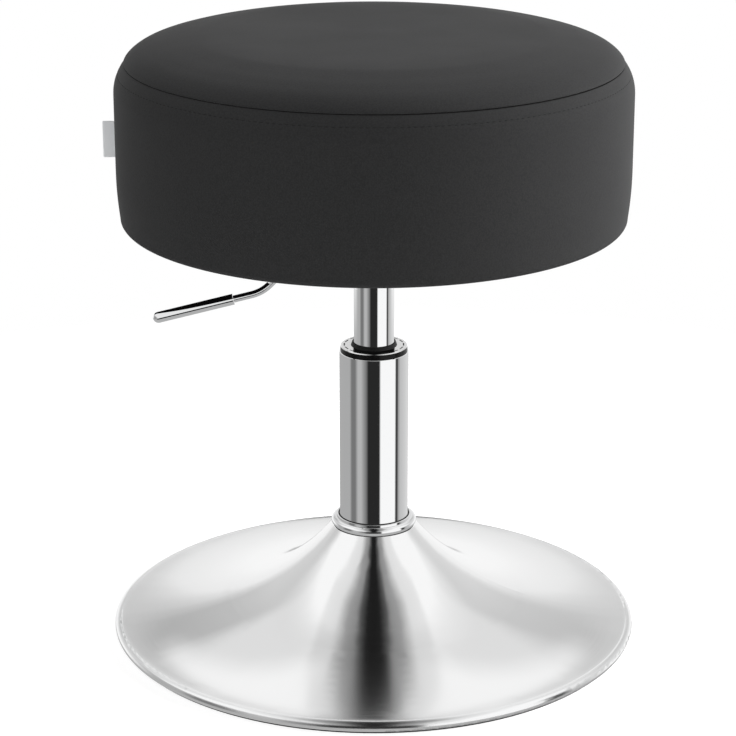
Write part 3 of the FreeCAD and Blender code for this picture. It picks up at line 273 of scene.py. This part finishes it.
# %% Helpers that draw and spin a profile
def draw_line(name, points):
    """An open chain of edges through the points."""
    bpy.ops.object.select_all(action="DESELECT")
    bpy.ops.mesh.primitive_plane_add(size=0.002, location=(0, 0, 0))
    piece = bpy.context.object
    piece.name = piece.data.name = name
    bpy.ops.object.mode_set(mode="EDIT")
    bpy.ops.mesh.merge(type="CENTER")
    bpy.ops.transform.translate(value=points[0])
    for here, there in zip(points, points[1:]):
        step = tuple(b - a for a, b in zip(here, there))
        bpy.ops.mesh.extrude_vertices_move(TRANSFORM_OT_translate={"value": step})
    bpy.ops.mesh.select_all(action="SELECT")
    return piece


def spin_profile(name, profile, steps):
    """Spins a profile of (radius, height) about the upright axis into a closed ring or disc."""
    piece = draw_line(name, [(radius, 0, height) for radius, height in profile])
    bpy.ops.mesh.spin(steps=steps, angle=2 * math.pi, center=(0, 0, 0), axis=(0, 0, 1))
    bpy.ops.mesh.select_all(action="SELECT")
    bpy.ops.mesh.remove_doubles(threshold=2e-5)
    bpy.ops.mesh.normals_make_consistent(inside=False)
    bpy.ops.object.mode_set(mode="OBJECT")
    return piece


def add_modifier(piece, kind, **settings):
    """Adds a modifier and applies it."""
    bpy.context.view_layer.objects.active = piece
    modifier = piece.modifiers.new(kind.title(), kind)
    for name, value in settings.items():
        setattr(modifier, name, value)
    bpy.ops.object.modifier_apply(modifier=modifier.name)


print("profile helpers ready")

# %% [markdown]
# ## The seat cover: one profile over the foam
# The cover is a round top panel and a side band of smooth black leather, sewn together a little
# inside the seat's edge. Both are drawn as one profile, from the middle of the top, over the
# crown, into the narrow groove of the seam, down the side and under the board. The crown is flat
# in the middle and falls fast near the seam. The cover starts a little slack, because the next
# step swells it.

# %% Draw the cover's profile
SEAM_RADIUS, SEAM_HEIGHT, PANEL_RADIUS = 0.1744, 0.425, 0.1742
CROWN_RISE, CROWN_FALL, CROWN_BLUNT = 0.01904, 7.34, 0.6935
SIDE_RADIUS, SHOULDER_RADIUS, SHOULDER_FOOT = 0.182, 0.031, 0.4047
SHOULDER_TOP, STITCH_ANGLE = math.radians(39), math.radians(25.4)
STITCH_DIP, DIP_HALF = 0.0006, 0.035
TURN_HEIGHT, LOWER_RADIUS, EDGE_RADIUS, UNDERSIDE = 0.350, 0.250, 0.0065, 0.3109
HEM_RADIUS = 0.138
COVER_STEPS = 240
SLACK = 0.0004


def crown(radius):
    """Height of the top panel at a radius."""
    fall = (radius / SEAM_RADIUS) ** CROWN_FALL
    return SEAM_HEIGHT + (CROWN_RISE - SLACK) * (1 - fall) ** CROWN_BLUNT


def arc(middle, radius, start, end, count):
    """Points of an arc, from start to end in radians."""
    angles = [start + (end - start) * i / count for i in range(count + 1)]
    return [(middle[0] + radius * math.cos(a), middle[1] + radius * math.sin(a)) for a in angles]


top_radii = [PANEL_RADIUS * math.sin(math.pi / 2 * i / 40) for i in range(41)]
top_line = [(radius, crown(radius)) for radius in top_radii]
groove = [
    (0.1740, 0.4254), (0.1728, 0.4252), (0.1714, 0.4250), (0.1727, 0.4245), (0.1738, 0.42485),
]
shoulder_middle = (SIDE_RADIUS - SHOULDER_RADIUS, SHOULDER_FOOT)
bend = SHOULDER_RADIUS - SLACK
above = arc(shoulder_middle, bend, SHOULDER_TOP, STITCH_ANGLE + DIP_HALF, 4)
dip = arc(shoulder_middle, SHOULDER_RADIUS - STITCH_DIP, STITCH_ANGLE, STITCH_ANGLE, 1)[:1]
below = arc(shoulder_middle, bend, STITCH_ANGLE - DIP_HALF, 0, 5)
upright = [
    (SIDE_RADIUS - SLACK, SHOULDER_FOOT + (TURN_HEIGHT - SHOULDER_FOOT) * i / 9)
    for i in range(1, 9)
]
lean = math.asin((TURN_HEIGHT - UNDERSIDE - EDGE_RADIUS) / (LOWER_RADIUS - EDGE_RADIUS))
lower_middle = (SIDE_RADIUS - LOWER_RADIUS, TURN_HEIGHT)
lower = arc(lower_middle, LOWER_RADIUS - SLACK, 0, -lean, 6)
edge_reach = (LOWER_RADIUS - EDGE_RADIUS) * math.cos(lean)
edge_middle = (lower_middle[0] + edge_reach, UNDERSIDE + EDGE_RADIUS)
edge = arc(edge_middle, EDGE_RADIUS, -lean - 0.25, -math.pi / 2, 5)
hem = [(0.165, UNDERSIDE), (0.152, UNDERSIDE), (HEM_RADIUS, UNDERSIDE)]
profile = top_line + groove + above + dip + below + upright + lower + edge + hem
cover = spin_profile("seat_cover", profile, COVER_STEPS)
print("cover points", len(cover.data.vertices))

# %% [markdown]
# ## Swelling the cover over its foam
# Foam presses the leather outwards between the places where it is sewn or stapled. That could be
# modelled by hand, but a cloth simulation with a little inner pressure finds the same shape. The
# seam, every second point of the topstitched row and the hem under the board are held. The
# leather of this seat is pulled tight and shows no folds, so of each row's travel only the even
# part and a trace of the wrinkles is kept, and no point travels further than half a millimetre.
# A voxel remesh isn't needed, because the spun mesh already has even five-millimetre faces.


# %% Hold the sewn places and swell the rest
GROOVE_RADII, GROOVE_HEIGHTS = (0.171, 0.1739), (0.4235, 0.4253)
HEM_REACH, STITCH_REACH = 0.005, 0.0002
CLOTH_FRAMES, INNER_PRESSURE = 20, 4
MOST_TRAVEL, WRINKLE_SHARE = 0.0005, 0.05


def is_held(point):
    """True where the cover is sewn or stapled down."""
    in_ring = GROOVE_RADII[0] < math.hypot(point.x, point.y) < GROOVE_RADII[1]
    in_groove = in_ring and GROOVE_HEIGHTS[0] < point.z < GROOVE_HEIGHTS[1]
    if in_groove or point.z < UNDERSIDE + HEM_REACH:
        return True
    step = round(math.atan2(point.y, point.x) / (2 * math.pi) * COVER_STEPS)
    stitched = abs(point.z - dip[0][1]) < STITCH_REACH
    return stitched and step % 2 == 0


held = cover.vertex_groups.new(name="held")
held.add([v.index for v in cover.data.vertices if is_held(v.co)], 1, "REPLACE")
start = [vertex.co.copy() for vertex in cover.data.vertices]
bpy.context.view_layer.objects.active = cover
cloth = cover.modifiers.new("Cloth", "CLOTH")
cloth.settings.quality = 5
cloth.settings.mass = 0.4
cloth.settings.tension_stiffness = cloth.settings.compression_stiffness = 60
cloth.settings.shear_stiffness = 40
cloth.settings.bending_stiffness = 12
cloth.settings.use_pressure = True
cloth.settings.uniform_pressure_force = INNER_PRESSURE
cloth.settings.effector_weights.gravity = 0
cloth.settings.vertex_group_mass = held.name
cloth.collision_settings.use_collision = False
for step in range(1, CLOTH_FRAMES + 1):
    scene.frame_set(step)
bpy.ops.object.modifier_apply(modifier="Cloth")
rounds = {}
for vertex, origin in zip(cover.data.vertices, start):
    key = (round(math.hypot(origin.x, origin.y), 5), round(origin.z, 5))
    rounds.setdefault(key, []).append((vertex, origin))
for (radius, _), members in rounds.items():
    outward = [Vector((p.x, p.y, 0)) / max(radius, 1e-6) for _, p in members]
    moves = [vertex.co - origin for vertex, origin in members]
    mean_out = sum(m.dot(o) for m, o in zip(moves, outward)) / len(members)
    mean_up = sum(m.z for m in moves) / len(members)
    for (vertex, origin), move, out in zip(members, moves, outward):
        even = out * mean_out + Vector((0, 0, mean_up))
        travel = even + (move - even) * WRINKLE_SHARE
        if travel.length > MOST_TRAVEL:
            travel *= MOST_TRAVEL / travel.length
        vertex.co = origin + travel
cover.vertex_groups.clear()
scene.frame_set(1)
print("rows of the cover", len(rounds))

# %% [markdown]
# ## Cutting the cover into its two panels
# On the real seat the top panel and the side band are cut from separate leather, so they are
# separate pieces here too. The side band is closed by one upright join on the left, where a line
# of points is drawn in. One subdivision smooths both, and Solidify gives the leather its
# thickness inwards.


# %% Separate the top panel and the side band
def select_points(piece, test):
    """In edit mode: selects the vertices that pass the test, and the faces between them."""
    bpy.ops.object.mode_set(mode="EDIT")
    bpy.ops.mesh.select_all(action="DESELECT")
    bpy.ops.object.mode_set(mode="OBJECT")
    chosen = [test(vertex.co) for vertex in piece.data.vertices]
    piece.data.vertices.foreach_set("select", chosen)
    bpy.ops.object.mode_set(mode="EDIT")
    bpy.ops.mesh.select_mode(type="VERT")
    print("points chosen", sum(chosen), "of", len(chosen))


JOIN_DEPTH, JOIN_TOP, GROOVE_FLOOR, PANEL_LIMIT = 0.0007, 0.424, 0.42495, 0.1748
LEATHER_THICKNESS = 0.0012
bpy.context.view_layer.objects.active = cover
select_points(cover, lambda point: point.x < 0 and abs(point.y) < 0.0005 and point.z < JOIN_TOP)
bpy.ops.transform.translate(value=(JOIN_DEPTH, 0, 0))
select_points(
    cover, lambda point: point.z > GROOVE_FLOOR and math.hypot(point.x, point.y) < PANEL_LIMIT
)
bpy.ops.mesh.separate(type="SELECTED")
bpy.ops.object.mode_set(mode="OBJECT")
cover.name = cover.data.name = "seat_side_band"
side_band = cover
top_panel = next(o for o in bpy.context.selected_objects if o != cover)
top_panel.name = top_panel.data.name = "seat_top_panel"
for panel in (top_panel, side_band):
    add_modifier(panel, "SUBSURF", levels=1, render_levels=1, use_limit_surface=False)
    add_modifier(panel, "SOLIDIFY", thickness=LEATHER_THICKNESS, offset=-1)
    bpy.ops.object.select_all(action="DESELECT")
    panel.select_set(True)
    bpy.ops.object.shade_smooth()
    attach(panel, "seat")
    print(panel.name, "faces", len(panel.data.polygons))
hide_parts("cover_top_panel", "foam_core")
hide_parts("cover_side_band")

# %% [markdown]
# ## The topstitch below the seam
# A single row of thread runs round the side band a finger's breadth below the seam. One stitch is
# a small sphere drawn out along the row, with few faces, because it is copied
# some two hundred and fifty times. The copies are joined into one piece of thread.

# %% Sew the topstitch
STITCH_COUNT = 256
THREAD_SINK, THREAD_HALF, STITCH_HALF = 0.00065, 0.0003, 0.0017
thread_reach = SHOULDER_RADIUS - THREAD_SINK
stitch_radius = shoulder_middle[0] + thread_reach * math.cos(STITCH_ANGLE)
stitch_height = shoulder_middle[1] + thread_reach * math.sin(STITCH_ANGLE)
bpy.ops.object.select_all(action="DESELECT")
bpy.ops.mesh.primitive_uv_sphere_add(segments=6, ring_count=5, radius=1, location=(0, 0, 0))
stitch = bpy.context.object
stitch.name = stitch.data.name = "topstitch_thread"
bpy.ops.object.mode_set(mode="EDIT")
bpy.ops.transform.resize(
    value=(STITCH_HALF, THREAD_HALF, THREAD_HALF), center_override=(0, 0, 0)
)
bpy.ops.transform.translate(value=(0, -stitch_radius, stitch_height))
bpy.ops.object.mode_set(mode="OBJECT")
row = [stitch]
for number in range(1, STITCH_COUNT):
    other = stitch.copy()
    other.data = stitch.data.copy()
    other.data.transform(Matrix.Rotation(2 * math.pi * number / STITCH_COUNT, 4, "Z"))
    scene.collection.objects.link(other)
    row.append(other)
for part in row:
    part.select_set(True)
bpy.context.view_layer.objects.active = stitch
bpy.ops.object.join()
bpy.ops.object.shade_smooth()
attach(stitch, "seat")
print("stitches", STITCH_COUNT, "faces", len(stitch.data.polygons))

# %% [markdown]
# ## The bare tab in the side join
# A short grey ribbon is folded double and sewn into the upright join on the left. It is drawn as
# the line that the ribbon follows seen from above, out, round the fold and back, raised in small
# even steps, and given the ribbon's thickness.

# %% Fold the tab
TAB_LOW, TAB_HIGH, TAB_STEPS, RIBBON_THICKNESS = 0.3554, 0.3814, 13, 0.00035
TAB_ROOT, TAB_MIDDLE, TAB_TIP, TAB_HALF = -0.1812, -0.1858, -0.1902, 0.00045
fold = [
    (TAB_TIP - TAB_HALF * math.sin(a), TAB_HALF * math.cos(a), TAB_LOW)
    for a in [math.pi * i / 6 for i in range(7)]
]
ribbon = [
    (TAB_ROOT, TAB_HALF, TAB_LOW), (TAB_MIDDLE, TAB_HALF * 1.5, TAB_LOW), *fold,
    (TAB_MIDDLE, -TAB_HALF * 0.9, TAB_LOW), (TAB_ROOT, -TAB_HALF, TAB_LOW),
]
tab = draw_line("side_tab", ribbon)
for _ in range(TAB_STEPS):
    bpy.ops.mesh.extrude_edges_move(
        TRANSFORM_OT_translate={"value": (0, 0, (TAB_HIGH - TAB_LOW) / TAB_STEPS)}
    )
bpy.ops.mesh.select_all(action="SELECT")
bpy.ops.mesh.normals_make_consistent(inside=False)
bpy.ops.object.mode_set(mode="OBJECT")
add_modifier(tab, "SOLIDIFY", thickness=RIBBON_THICKNESS, offset=0)
add_modifier(tab, "SUBSURF", levels=1, render_levels=1)
bpy.ops.object.shade_smooth()
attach(tab, "seat")
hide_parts("side_tag")
print("tab faces", len(tab.data.polygons))

# %% [markdown]
# ## The dust cover under the seat
# Thin black felt closes the underside round the plate, stapled at its rim. Cloth could be hung
# here by a simulation too, but a flat spun ring with a little random unevenness from a fixed seed
# is enough for so tight a sheet.

# %% Stretch the dust cover
FELT_OUTER, FELT_INNER, FELT_HEIGHT = 0.165, 0.113, 0.3107
FELT_THICKNESS, FELT_UNEVEN, FELT_STEPS = 0.0003, 0.00012, 96
felt_line = [
    (FELT_INNER + (FELT_OUTER - FELT_INNER) * i / 6, FELT_HEIGHT) for i in range(7)
]
felt = spin_profile("dust_felt", felt_line, FELT_STEPS)
bpy.ops.object.mode_set(mode="EDIT")
bpy.ops.mesh.select_all(action="SELECT")
bpy.ops.transform.vertex_random(offset=FELT_UNEVEN, seed=4)
bpy.ops.object.mode_set(mode="OBJECT")
add_modifier(felt, "SUBSURF", levels=1, render_levels=1)
add_modifier(felt, "SOLIDIFY", thickness=FELT_THICKNESS, offset=0)
bpy.ops.object.shade_smooth()
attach(felt, "seat")
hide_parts("dust_cover")

# %% [markdown]
# ## The dark ring at the neck
# A thin black ring closes the gap between the column and the neck ring and draws the dark line
# there: it is painted shade, a dark ring where the gap lies in shadow. It is a small circle, spun.
# A ready torus would do as well, but the helper for spun pieces is already here.

# %% Spin the dark ring for the shade in the neck's gap
# Painted shade: a black ring fills the shadowed gap where the column enters the neck ring.
GAP_SHADE_HALF, GAP_SHADE_INNER, GAP_SHADE_HEIGHT, GAP_SHADE_STEPS = 0.0006, 0.02505, 0.0864, 96
gap_shade_middle = (GAP_SHADE_INNER + GAP_SHADE_HALF, GAP_SHADE_HEIGHT)
gap_shade_line = arc(gap_shade_middle, GAP_SHADE_HALF, 0, 2 * math.pi, 10)
gap_shade_ring = spin_profile("neck_gap_shade", gap_shade_line, GAP_SHADE_STEPS)
bpy.ops.object.shade_smooth()
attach(gap_shade_ring, "base")
print("gasket faces", len(gap_shade_ring.data.polygons))

# %% [markdown]
# ## Finishes: a start for each material
# Every finish is a Principled shader with its plain numbers on its own sockets. What varies over
# the surface, such as grain, brushing or dust, is linked from noise that reads Object coordinates,
# so it stays on the piece from every side.


# %% Helpers for finishes
def finish(name, **sockets):
    """A material, its tree and its shader."""
    material = bpy.data.materials.new(name)
    material.use_nodes = True
    shader = material.node_tree.nodes["Principled BSDF"]
    for socket, value in sockets.items():
        shader.inputs[socket.replace("_", " ")].default_value = value
    return material, material.node_tree, shader


def place(tree):
    """The point on the piece."""
    return put(tree, "TexCoord").outputs["Object"]


def axes_of(tree):
    """The three coordinates of the point on the piece."""
    return put(tree, "SeparateXYZ", Vector=place(tree)).outputs


def off_axis(tree, axes):
    """The point's distance from the upright axis."""
    flat = put(tree, "CombineXYZ", X=axes["X"], Y=axes["Y"]).outputs[0]
    return put(tree, "VectorMath", {"operation": "LENGTH"}, Vector=flat).outputs["Value"]


def noise(tree, scale, detail=3.0):
    """Soft noise from 0 to 1."""
    return put(tree, "TexNoise", Vector=place(tree), Scale=scale, Detail=detail).outputs[0]


def relief(tree, shader, height, strength, depth):
    """Links a height to the shader as a bump."""
    bump = put(tree, "Bump", Height=height, Strength=strength, Distance=depth)
    tree.links.new(bump.outputs[0], shader.inputs["Normal"])


def vary(tree, shader, socket, value):
    """Links a varying value to one of the shader's sockets."""
    tree.links.new(value, shader.inputs[socket])


def coat(material, *names):
    """Gives CAD nodes, or new pieces, the finish."""
    for name in names:
        piece = nodes.get(name) or bpy.data.objects[name]
        if not piece.material_slots:
            piece.data.materials.append(material)
        for slot in piece.material_slots:
            slot.material = material
    print(material.name, "on", len(names))


# %% [markdown]
# ## Black leather
# Smooth coated leather: nearly black, half matt, with a very fine pebble grain that only shows
# close up. Cells of about a millimetre make the grain, a finer noise breaks them up, and slow
# noise makes some areas a touch shinier, as use does. Down in the groove of the seam the colour
# is painted nearly black and fully matt: painted shade in the seam.

# %% Leather and thread
leather, tree, shader = finish("black_leather", Specular_IOR_Level=0.15)
cells = put(
    tree, "TexVoronoi", {"feature": "SMOOTH_F1"}, Vector=place(tree), Scale=950.0, Smoothness=0.6
)
pores = noise(tree, 2600.0)
worn = noise(tree, 9.0)
height = sums(tree, "MULTIPLY_ADD", pores, 0.35, cells.outputs["Distance"])
relief(tree, shader, height, 0.16, 0.0002)
HIDE_PALE, HIDE_DARK = (0.031, 0.0311, 0.0316, 1), (0.0232, 0.0233, 0.0237, 1)
# Painted shade: a thin ring down in the seam's groove is coloured nearly black and made fully matt.
SEAM_SHADE_HEIGHT, SEAM_SHADE_HALF, SEAM_SHADE_RADIUS, SEAM_SHADE_GREY = 0.4249, 0.0004, 0.1738, 0.007
hide = blend(tree, spread(tree, height, 0, 1, 0.2, 0.9), HIDE_PALE, HIDE_DARK)
axes = axes_of(tree)
seam_shade = sums(tree, "COMPARE", axes["Z"], SEAM_SHADE_HEIGHT, SEAM_SHADE_HALF)
within = sums(tree, "LESS_THAN", off_axis(tree, axes), SEAM_SHADE_RADIUS)
seam_shade = sums(tree, "MULTIPLY", seam_shade, within)
vary(tree, shader, "Base Color", blend(tree, seam_shade, hide, grey(SEAM_SHADE_GREY)))
vary(tree, shader, "Roughness", sums(tree, "MAXIMUM", spread(tree, worn, 0.60, 0.68), seam_shade))
coat(leather, "seat_top_panel", "seat_side_band")

thread, tree, shader = finish("black_thread", Roughness=0.8, Specular_IOR_Level=0.1)
twist = put(tree, "TexWave", {"bands_direction": "DIAGONAL"}, Vector=place(tree), Scale=900.0)
vary(tree, shader, "Base Color", blend(tree, twist.outputs[1], grey(0.014), grey(0.024)))
coat(thread, "topstitch_thread")

# %% [markdown]
# ## Fabrics: the grey ribbon and the black felt
# The ribbon is a tight plain weave, two sets of fine waves across each other. The felt is pressed
# fibre with no weave, so stretched noise is enough.

# %% Ribbon and felt
ribbon_cloth, tree, shader = finish("grey_ribbon", Roughness=0.75, Sheen_Weight=0.2)
warp = put(tree, "TexWave", {"bands_direction": "Z"}, Vector=place(tree), Scale=700.0)
weft = put(tree, "TexWave", {"bands_direction": "X"}, Vector=place(tree), Scale=700.0)
weave = sums(tree, "MULTIPLY", warp.outputs[1], weft.outputs[1])
relief(tree, shader, weave, 0.25, 0.0001)
RIBBON_DARK, RIBBON_PALE = (0.80, 0.815, 0.83, 1), (0.90, 0.91, 0.92, 1)
vary(tree, shader, "Base Color", blend(tree, weave, RIBBON_DARK, RIBBON_PALE))
coat(ribbon_cloth, "side_tab")

felt_cloth, tree, shader = finish("black_felt", Roughness=0.9, Sheen_Weight=0.15)
fibres = noise(tree, 1400.0, 5.0)
relief(tree, shader, fibres, 0.35, 0.0003)
vary(tree, shader, "Base Color", blend(tree, fibres, grey(0.012), grey(0.04)))
coat(felt_cloth, "dust_felt")

# %% [markdown]
# ## Chrome
# The column, the gas cylinder, the lever and the neck ring are polished chrome, a nearly perfect
# mirror. A little uneven roughness, as from wiping, keeps it from looking like glass.

# %% Polished chrome
chrome, tree, shader = finish("polished_chrome", Metallic=1.0, Base_Color=(0.93, 0.935, 0.94, 1))
wiped = noise(tree, 60.0)
vary(tree, shader, "Roughness", spread(tree, wiped, 0.035, 0.06))
coat(chrome, "column_tube", "gas_cylinder", "neck_trim_ring", "lever_rod", "lever_handle")

# %% [markdown]
# ## Spun satin steel
# The base is spun on a lathe and brushed, so its fine scratches run in rings. They stretch every
# reflection along the flank, which the anisotropic socket gives with a tangent round the axis and
# a quarter turn. The rings themselves are one-dimensional noise over the radius. The rolled rim is
# duller.

# %% Satin base
satin, tree, shader = finish(
    "spun_satin_steel", Metallic=1.0, Anisotropic=0.8, Anisotropic_Rotation=0.25
)
RIM_START, RIM_END, RIM_ROUGHNESS = 0.1835, 0.1875, 0.20
STEEL_DARK, STEEL_PALE = grey(0.92), (0.945, 0.948, 0.95, 1)
radius = off_axis(tree, axes_of(tree))
rings = put(tree, "TexNoise", {"noise_dimensions": "1D"}, W=radius, Scale=1100.0, Detail=2.0)
rings = rings.outputs[0]
rim = spread(tree, radius, 0, 1, RIM_START, RIM_END)
brushed = sums(tree, "MULTIPLY", spread(tree, rings, 0.09, 0.12), sums(tree, "SUBTRACT", 1, rim))
rolled = sums(tree, "MULTIPLY", rim, RIM_ROUGHNESS)
vary(tree, shader, "Roughness", sums(tree, "ADD", brushed, rolled))
shade = sums(tree, "MAXIMUM", rings, rim)
vary(tree, shader, "Base Color", blend(tree, shade, STEEL_DARK, STEEL_PALE))
around = put(tree, "Tangent", {"direction_type": "RADIAL", "axis": "Z"})
vary(tree, shader, "Tangent", around.outputs[0])
coat(satin, "base_shell")

# %% [markdown]
# ## The collar and the wiper
# The bush ends in a glossy black collar with a bright plated face, and a row of dark slots runs
# round that face. Slope, height and radius tell face, slots and side apart. The wiper is black
# rubber.

# %% Collar and rubber
collar, tree, shader = finish("plated_collar", Specular_IOR_Level=0.12)
SLOT_FLOOR, FACE_HEIGHT, SLOT_EDGE, FACE_EDGE = 0.21635, 0.2165, 0.0229, 0.0231
axes = axes_of(tree)
upward = put(tree, "SeparateXYZ", Vector=put(tree, "NewGeometry").outputs["Normal"]).outputs["Z"]
face = spread(tree, upward, 0, 1, 0.45, 0.6)
deep = spread(tree, axes["Z"], 1, 0, SLOT_FLOOR, FACE_HEIGHT)
inside = spread(tree, off_axis(tree, axes), 1, 0, SLOT_EDGE, FACE_EDGE)
slots = sums(tree, "MULTIPLY", deep, inside)
plated = sums(tree, "MULTIPLY", face, sums(tree, "SUBTRACT", 1, slots))
brushing = noise(tree, 1500.0)
plating = blend(tree, brushing, grey(0.80), grey(0.88))
vary(tree, shader, "Base Color", blend(tree, plated, grey(0.006), plating))
vary(tree, shader, "Metallic", plated)
vary(tree, shader, "Roughness", spread(tree, brushing, 0.14, 0.20))
coat(collar, "guide_bush")

rubber, tree, shader = finish("black_rubber", Specular_IOR_Level=0.2)
bloom = noise(tree, 220.0, 4.0)
vary(tree, shader, "Base Color", blend(tree, bloom, grey(0.006), grey(0.014)))
vary(tree, shader, "Roughness", spread(tree, bloom, 0.45, 0.62))
relief(tree, shader, noise(tree, 1800.0), 0.1, 0.0001)
# The dark ring at the neck takes the rubber finish too; it is painted shade for the shadowed gap.
coat(rubber, "wiper_seal", "base_floor_ring", "bump_stop", "piston_seal", "neck_gap_shade")

# %% [markdown]
# ## Painted, plain and hidden pieces
# Under the seat the plate, socket and bracket are powder coated black with a slight orange peel.
# Screws, pins and staples are plain zinc-bright steel. The board is plywood, seen only where the
# felt is open.

# %% Paint, steel, brass, plastic and plywood
paint, tree, shader = finish("black_powder_coat")
peel = noise(tree, 700.0, 2.0)
vary(tree, shader, "Base Color", blend(tree, peel, grey(0.014), grey(0.026)))
vary(tree, shader, "Roughness", spread(tree, noise(tree, 40.0), 0.34, 0.46))
relief(tree, shader, peel, 0.2, 0.0002)
coat(paint, "base_bottom_plate", "base_hub", "plate_socket", "seat_plate", "lever_bracket")


def bare_metal(name, dark, pale, smooth, dull):
    """A plain metal with a slow stain and a fine grain."""
    metal, tree, shader = finish(name, Metallic=1.0)
    stain = noise(tree, 120.0, 4.0)
    vary(tree, shader, "Base Color", blend(tree, stain, dark, pale))
    vary(tree, shader, "Roughness", spread(tree, stain, smooth, dull))
    relief(tree, shader, noise(tree, 2200.0), 0.06, 0.0001)
    return metal


steel = bare_metal("plain_steel", grey(0.48), grey(0.66), 0.25, 0.42)
coat(steel, "bearing_lower_washer", "bearing_upper_washer", "bearing_balls", "piston_rod", "rod_clip",
     "valve_body", "lever_pivot", "seat_screws", "screw_washers", "tee_nuts", "hem_staples",
     "lever_rocker", "release_pin")
brass = bare_metal("rolled_brass", (0.60, 0.42, 0.16, 1), (0.78, 0.57, 0.25, 1), 0.25, 0.4)
coat(brass, "bearing_cage")
alloy = bare_metal("turned_alloy", grey(0.62), grey(0.78), 0.3, 0.45)
coat(alloy, "piston")

moulded, tree, shader = finish("black_moulding")
speckle = noise(tree, 900.0)
vary(tree, shader, "Base Color", blend(tree, speckle, grey(0.012), grey(0.026)))
vary(tree, shader, "Roughness", spread(tree, speckle, 0.38, 0.5))
coat(moulded, "rod_guide")

plywood, tree, shader = finish("birch_plywood")
long_grain = put(tree, "Mapping", Vector=place(tree), Scale=(14.0, 220.0, 600.0)).outputs[0]
grain = put(tree, "TexNoise", Vector=long_grain, Scale=1.0, Detail=4.0).outputs[0]
vary(tree, shader, "Base Color", blend(tree, grain, (0.36, 0.23, 0.11, 1), (0.62, 0.44, 0.26, 1)))
vary(tree, shader, "Roughness", spread(tree, grain, 0.55, 0.75))
coat(plywood, "seat_board")

# %% [markdown]
# ## What the mirrors may see
# In the studio picture the metal shows the studio alone: the base doesn't mirror the dark seat
# above it, and the column doesn't mirror the base. So the whole stool stays out of the reflections
# here. The lever does show the dark seat above it, as a wedge that thins out towards the tip, and
# a white card in front, so it gets small cards of its own, as a photographer clamps them beside a
# shiny rod. Only reflections that start close by see them. A black sleeve round the cylinder's
# foot does the same for the collar, whose bright face mirrors the dark cylinder in front.


# %% Keep the stool out of its own mirrors, and set the lever's cards
for piece in (*nodes.values(), top_panel, side_band, felt, stitch, tab, gap_shade_ring):
    piece.visible_glossy = False


def mirror_card(card, level, reach, front_only=False):
    """Leaves a card to reflections that start within reach of it, and gives it a grey."""
    card.visible_camera = card.visible_diffuse = False
    card.visible_transmission = card.visible_shadow = False
    surface, tree, shader = finish(
        card.name, Base_Color=grey(0), Roughness=1.0, Specular_IOR_Level=0.0,
        Emission_Color=grey(level), Emission_Strength=1.0,
    )
    seen = sums(tree, "LESS_THAN", put(tree, "LightPath").outputs["Ray Length"], reach)
    if front_only:
        behind = put(tree, "NewGeometry").outputs["Backfacing"]
        seen = sums(tree, "MULTIPLY", seen, sums(tree, "SUBTRACT", 1, behind))
    vary(tree, shader, "Alpha", seen)
    card.data.materials.append(surface)


GRIP_PLACE, GRIP_HEIGHT, GRIP_SLOPE = -0.0804, 0.2560, 0.253
CARD_TIP, CARD_ROOT, CARD_REACH = -0.164, -0.076, 0.085
SLEEVE_RADIUS, SLEEVE_LOW, SLEEVE_HIGH, SLEEVE_REACH = 0.0150, 0.2167, 0.2290, 0.03


def lever_card(name, front, back, low, high, level, lead=0.0):
    """A card along the grip, from front to back and low to high; its tip end stands back by lead."""
    ends = [
        (x, front + shift, GRIP_HEIGHT + (x - GRIP_PLACE) * GRIP_SLOPE + low)
        for x, shift in ((CARD_TIP, lead), (CARD_ROOT, 0.0))
    ]
    card = draw_line(name, ends)
    bpy.ops.mesh.extrude_edges_move(
        TRANSFORM_OT_translate={"value": (0, back - front, high - low)}
    )
    bpy.ops.object.mode_set(mode="OBJECT")
    mirror_card(card, level, CARD_REACH)


lever_card("black_roof_card", -0.0259, 0.0201, 0.0065, 0.0065, 0.002, lead=0.0266)
lever_card("white_roof_card", -0.022, 0.004, 0.0070, 0.0070, 0.85)
lever_card("white_front_card", -0.022, -0.022, -0.0021, 0.0070, 0.85)
lever_card("black_line_card", -0.021, -0.021, -0.0113, -0.0021, 0.004)
sleeve_line = [(SLEEVE_RADIUS, SLEEVE_LOW), (SLEEVE_RADIUS, SLEEVE_HIGH)]
sleeve = spin_profile("black_sleeve_card", sleeve_line, 64)
mirror_card(sleeve, 0.004, SLEEVE_REACH, front_only=True)
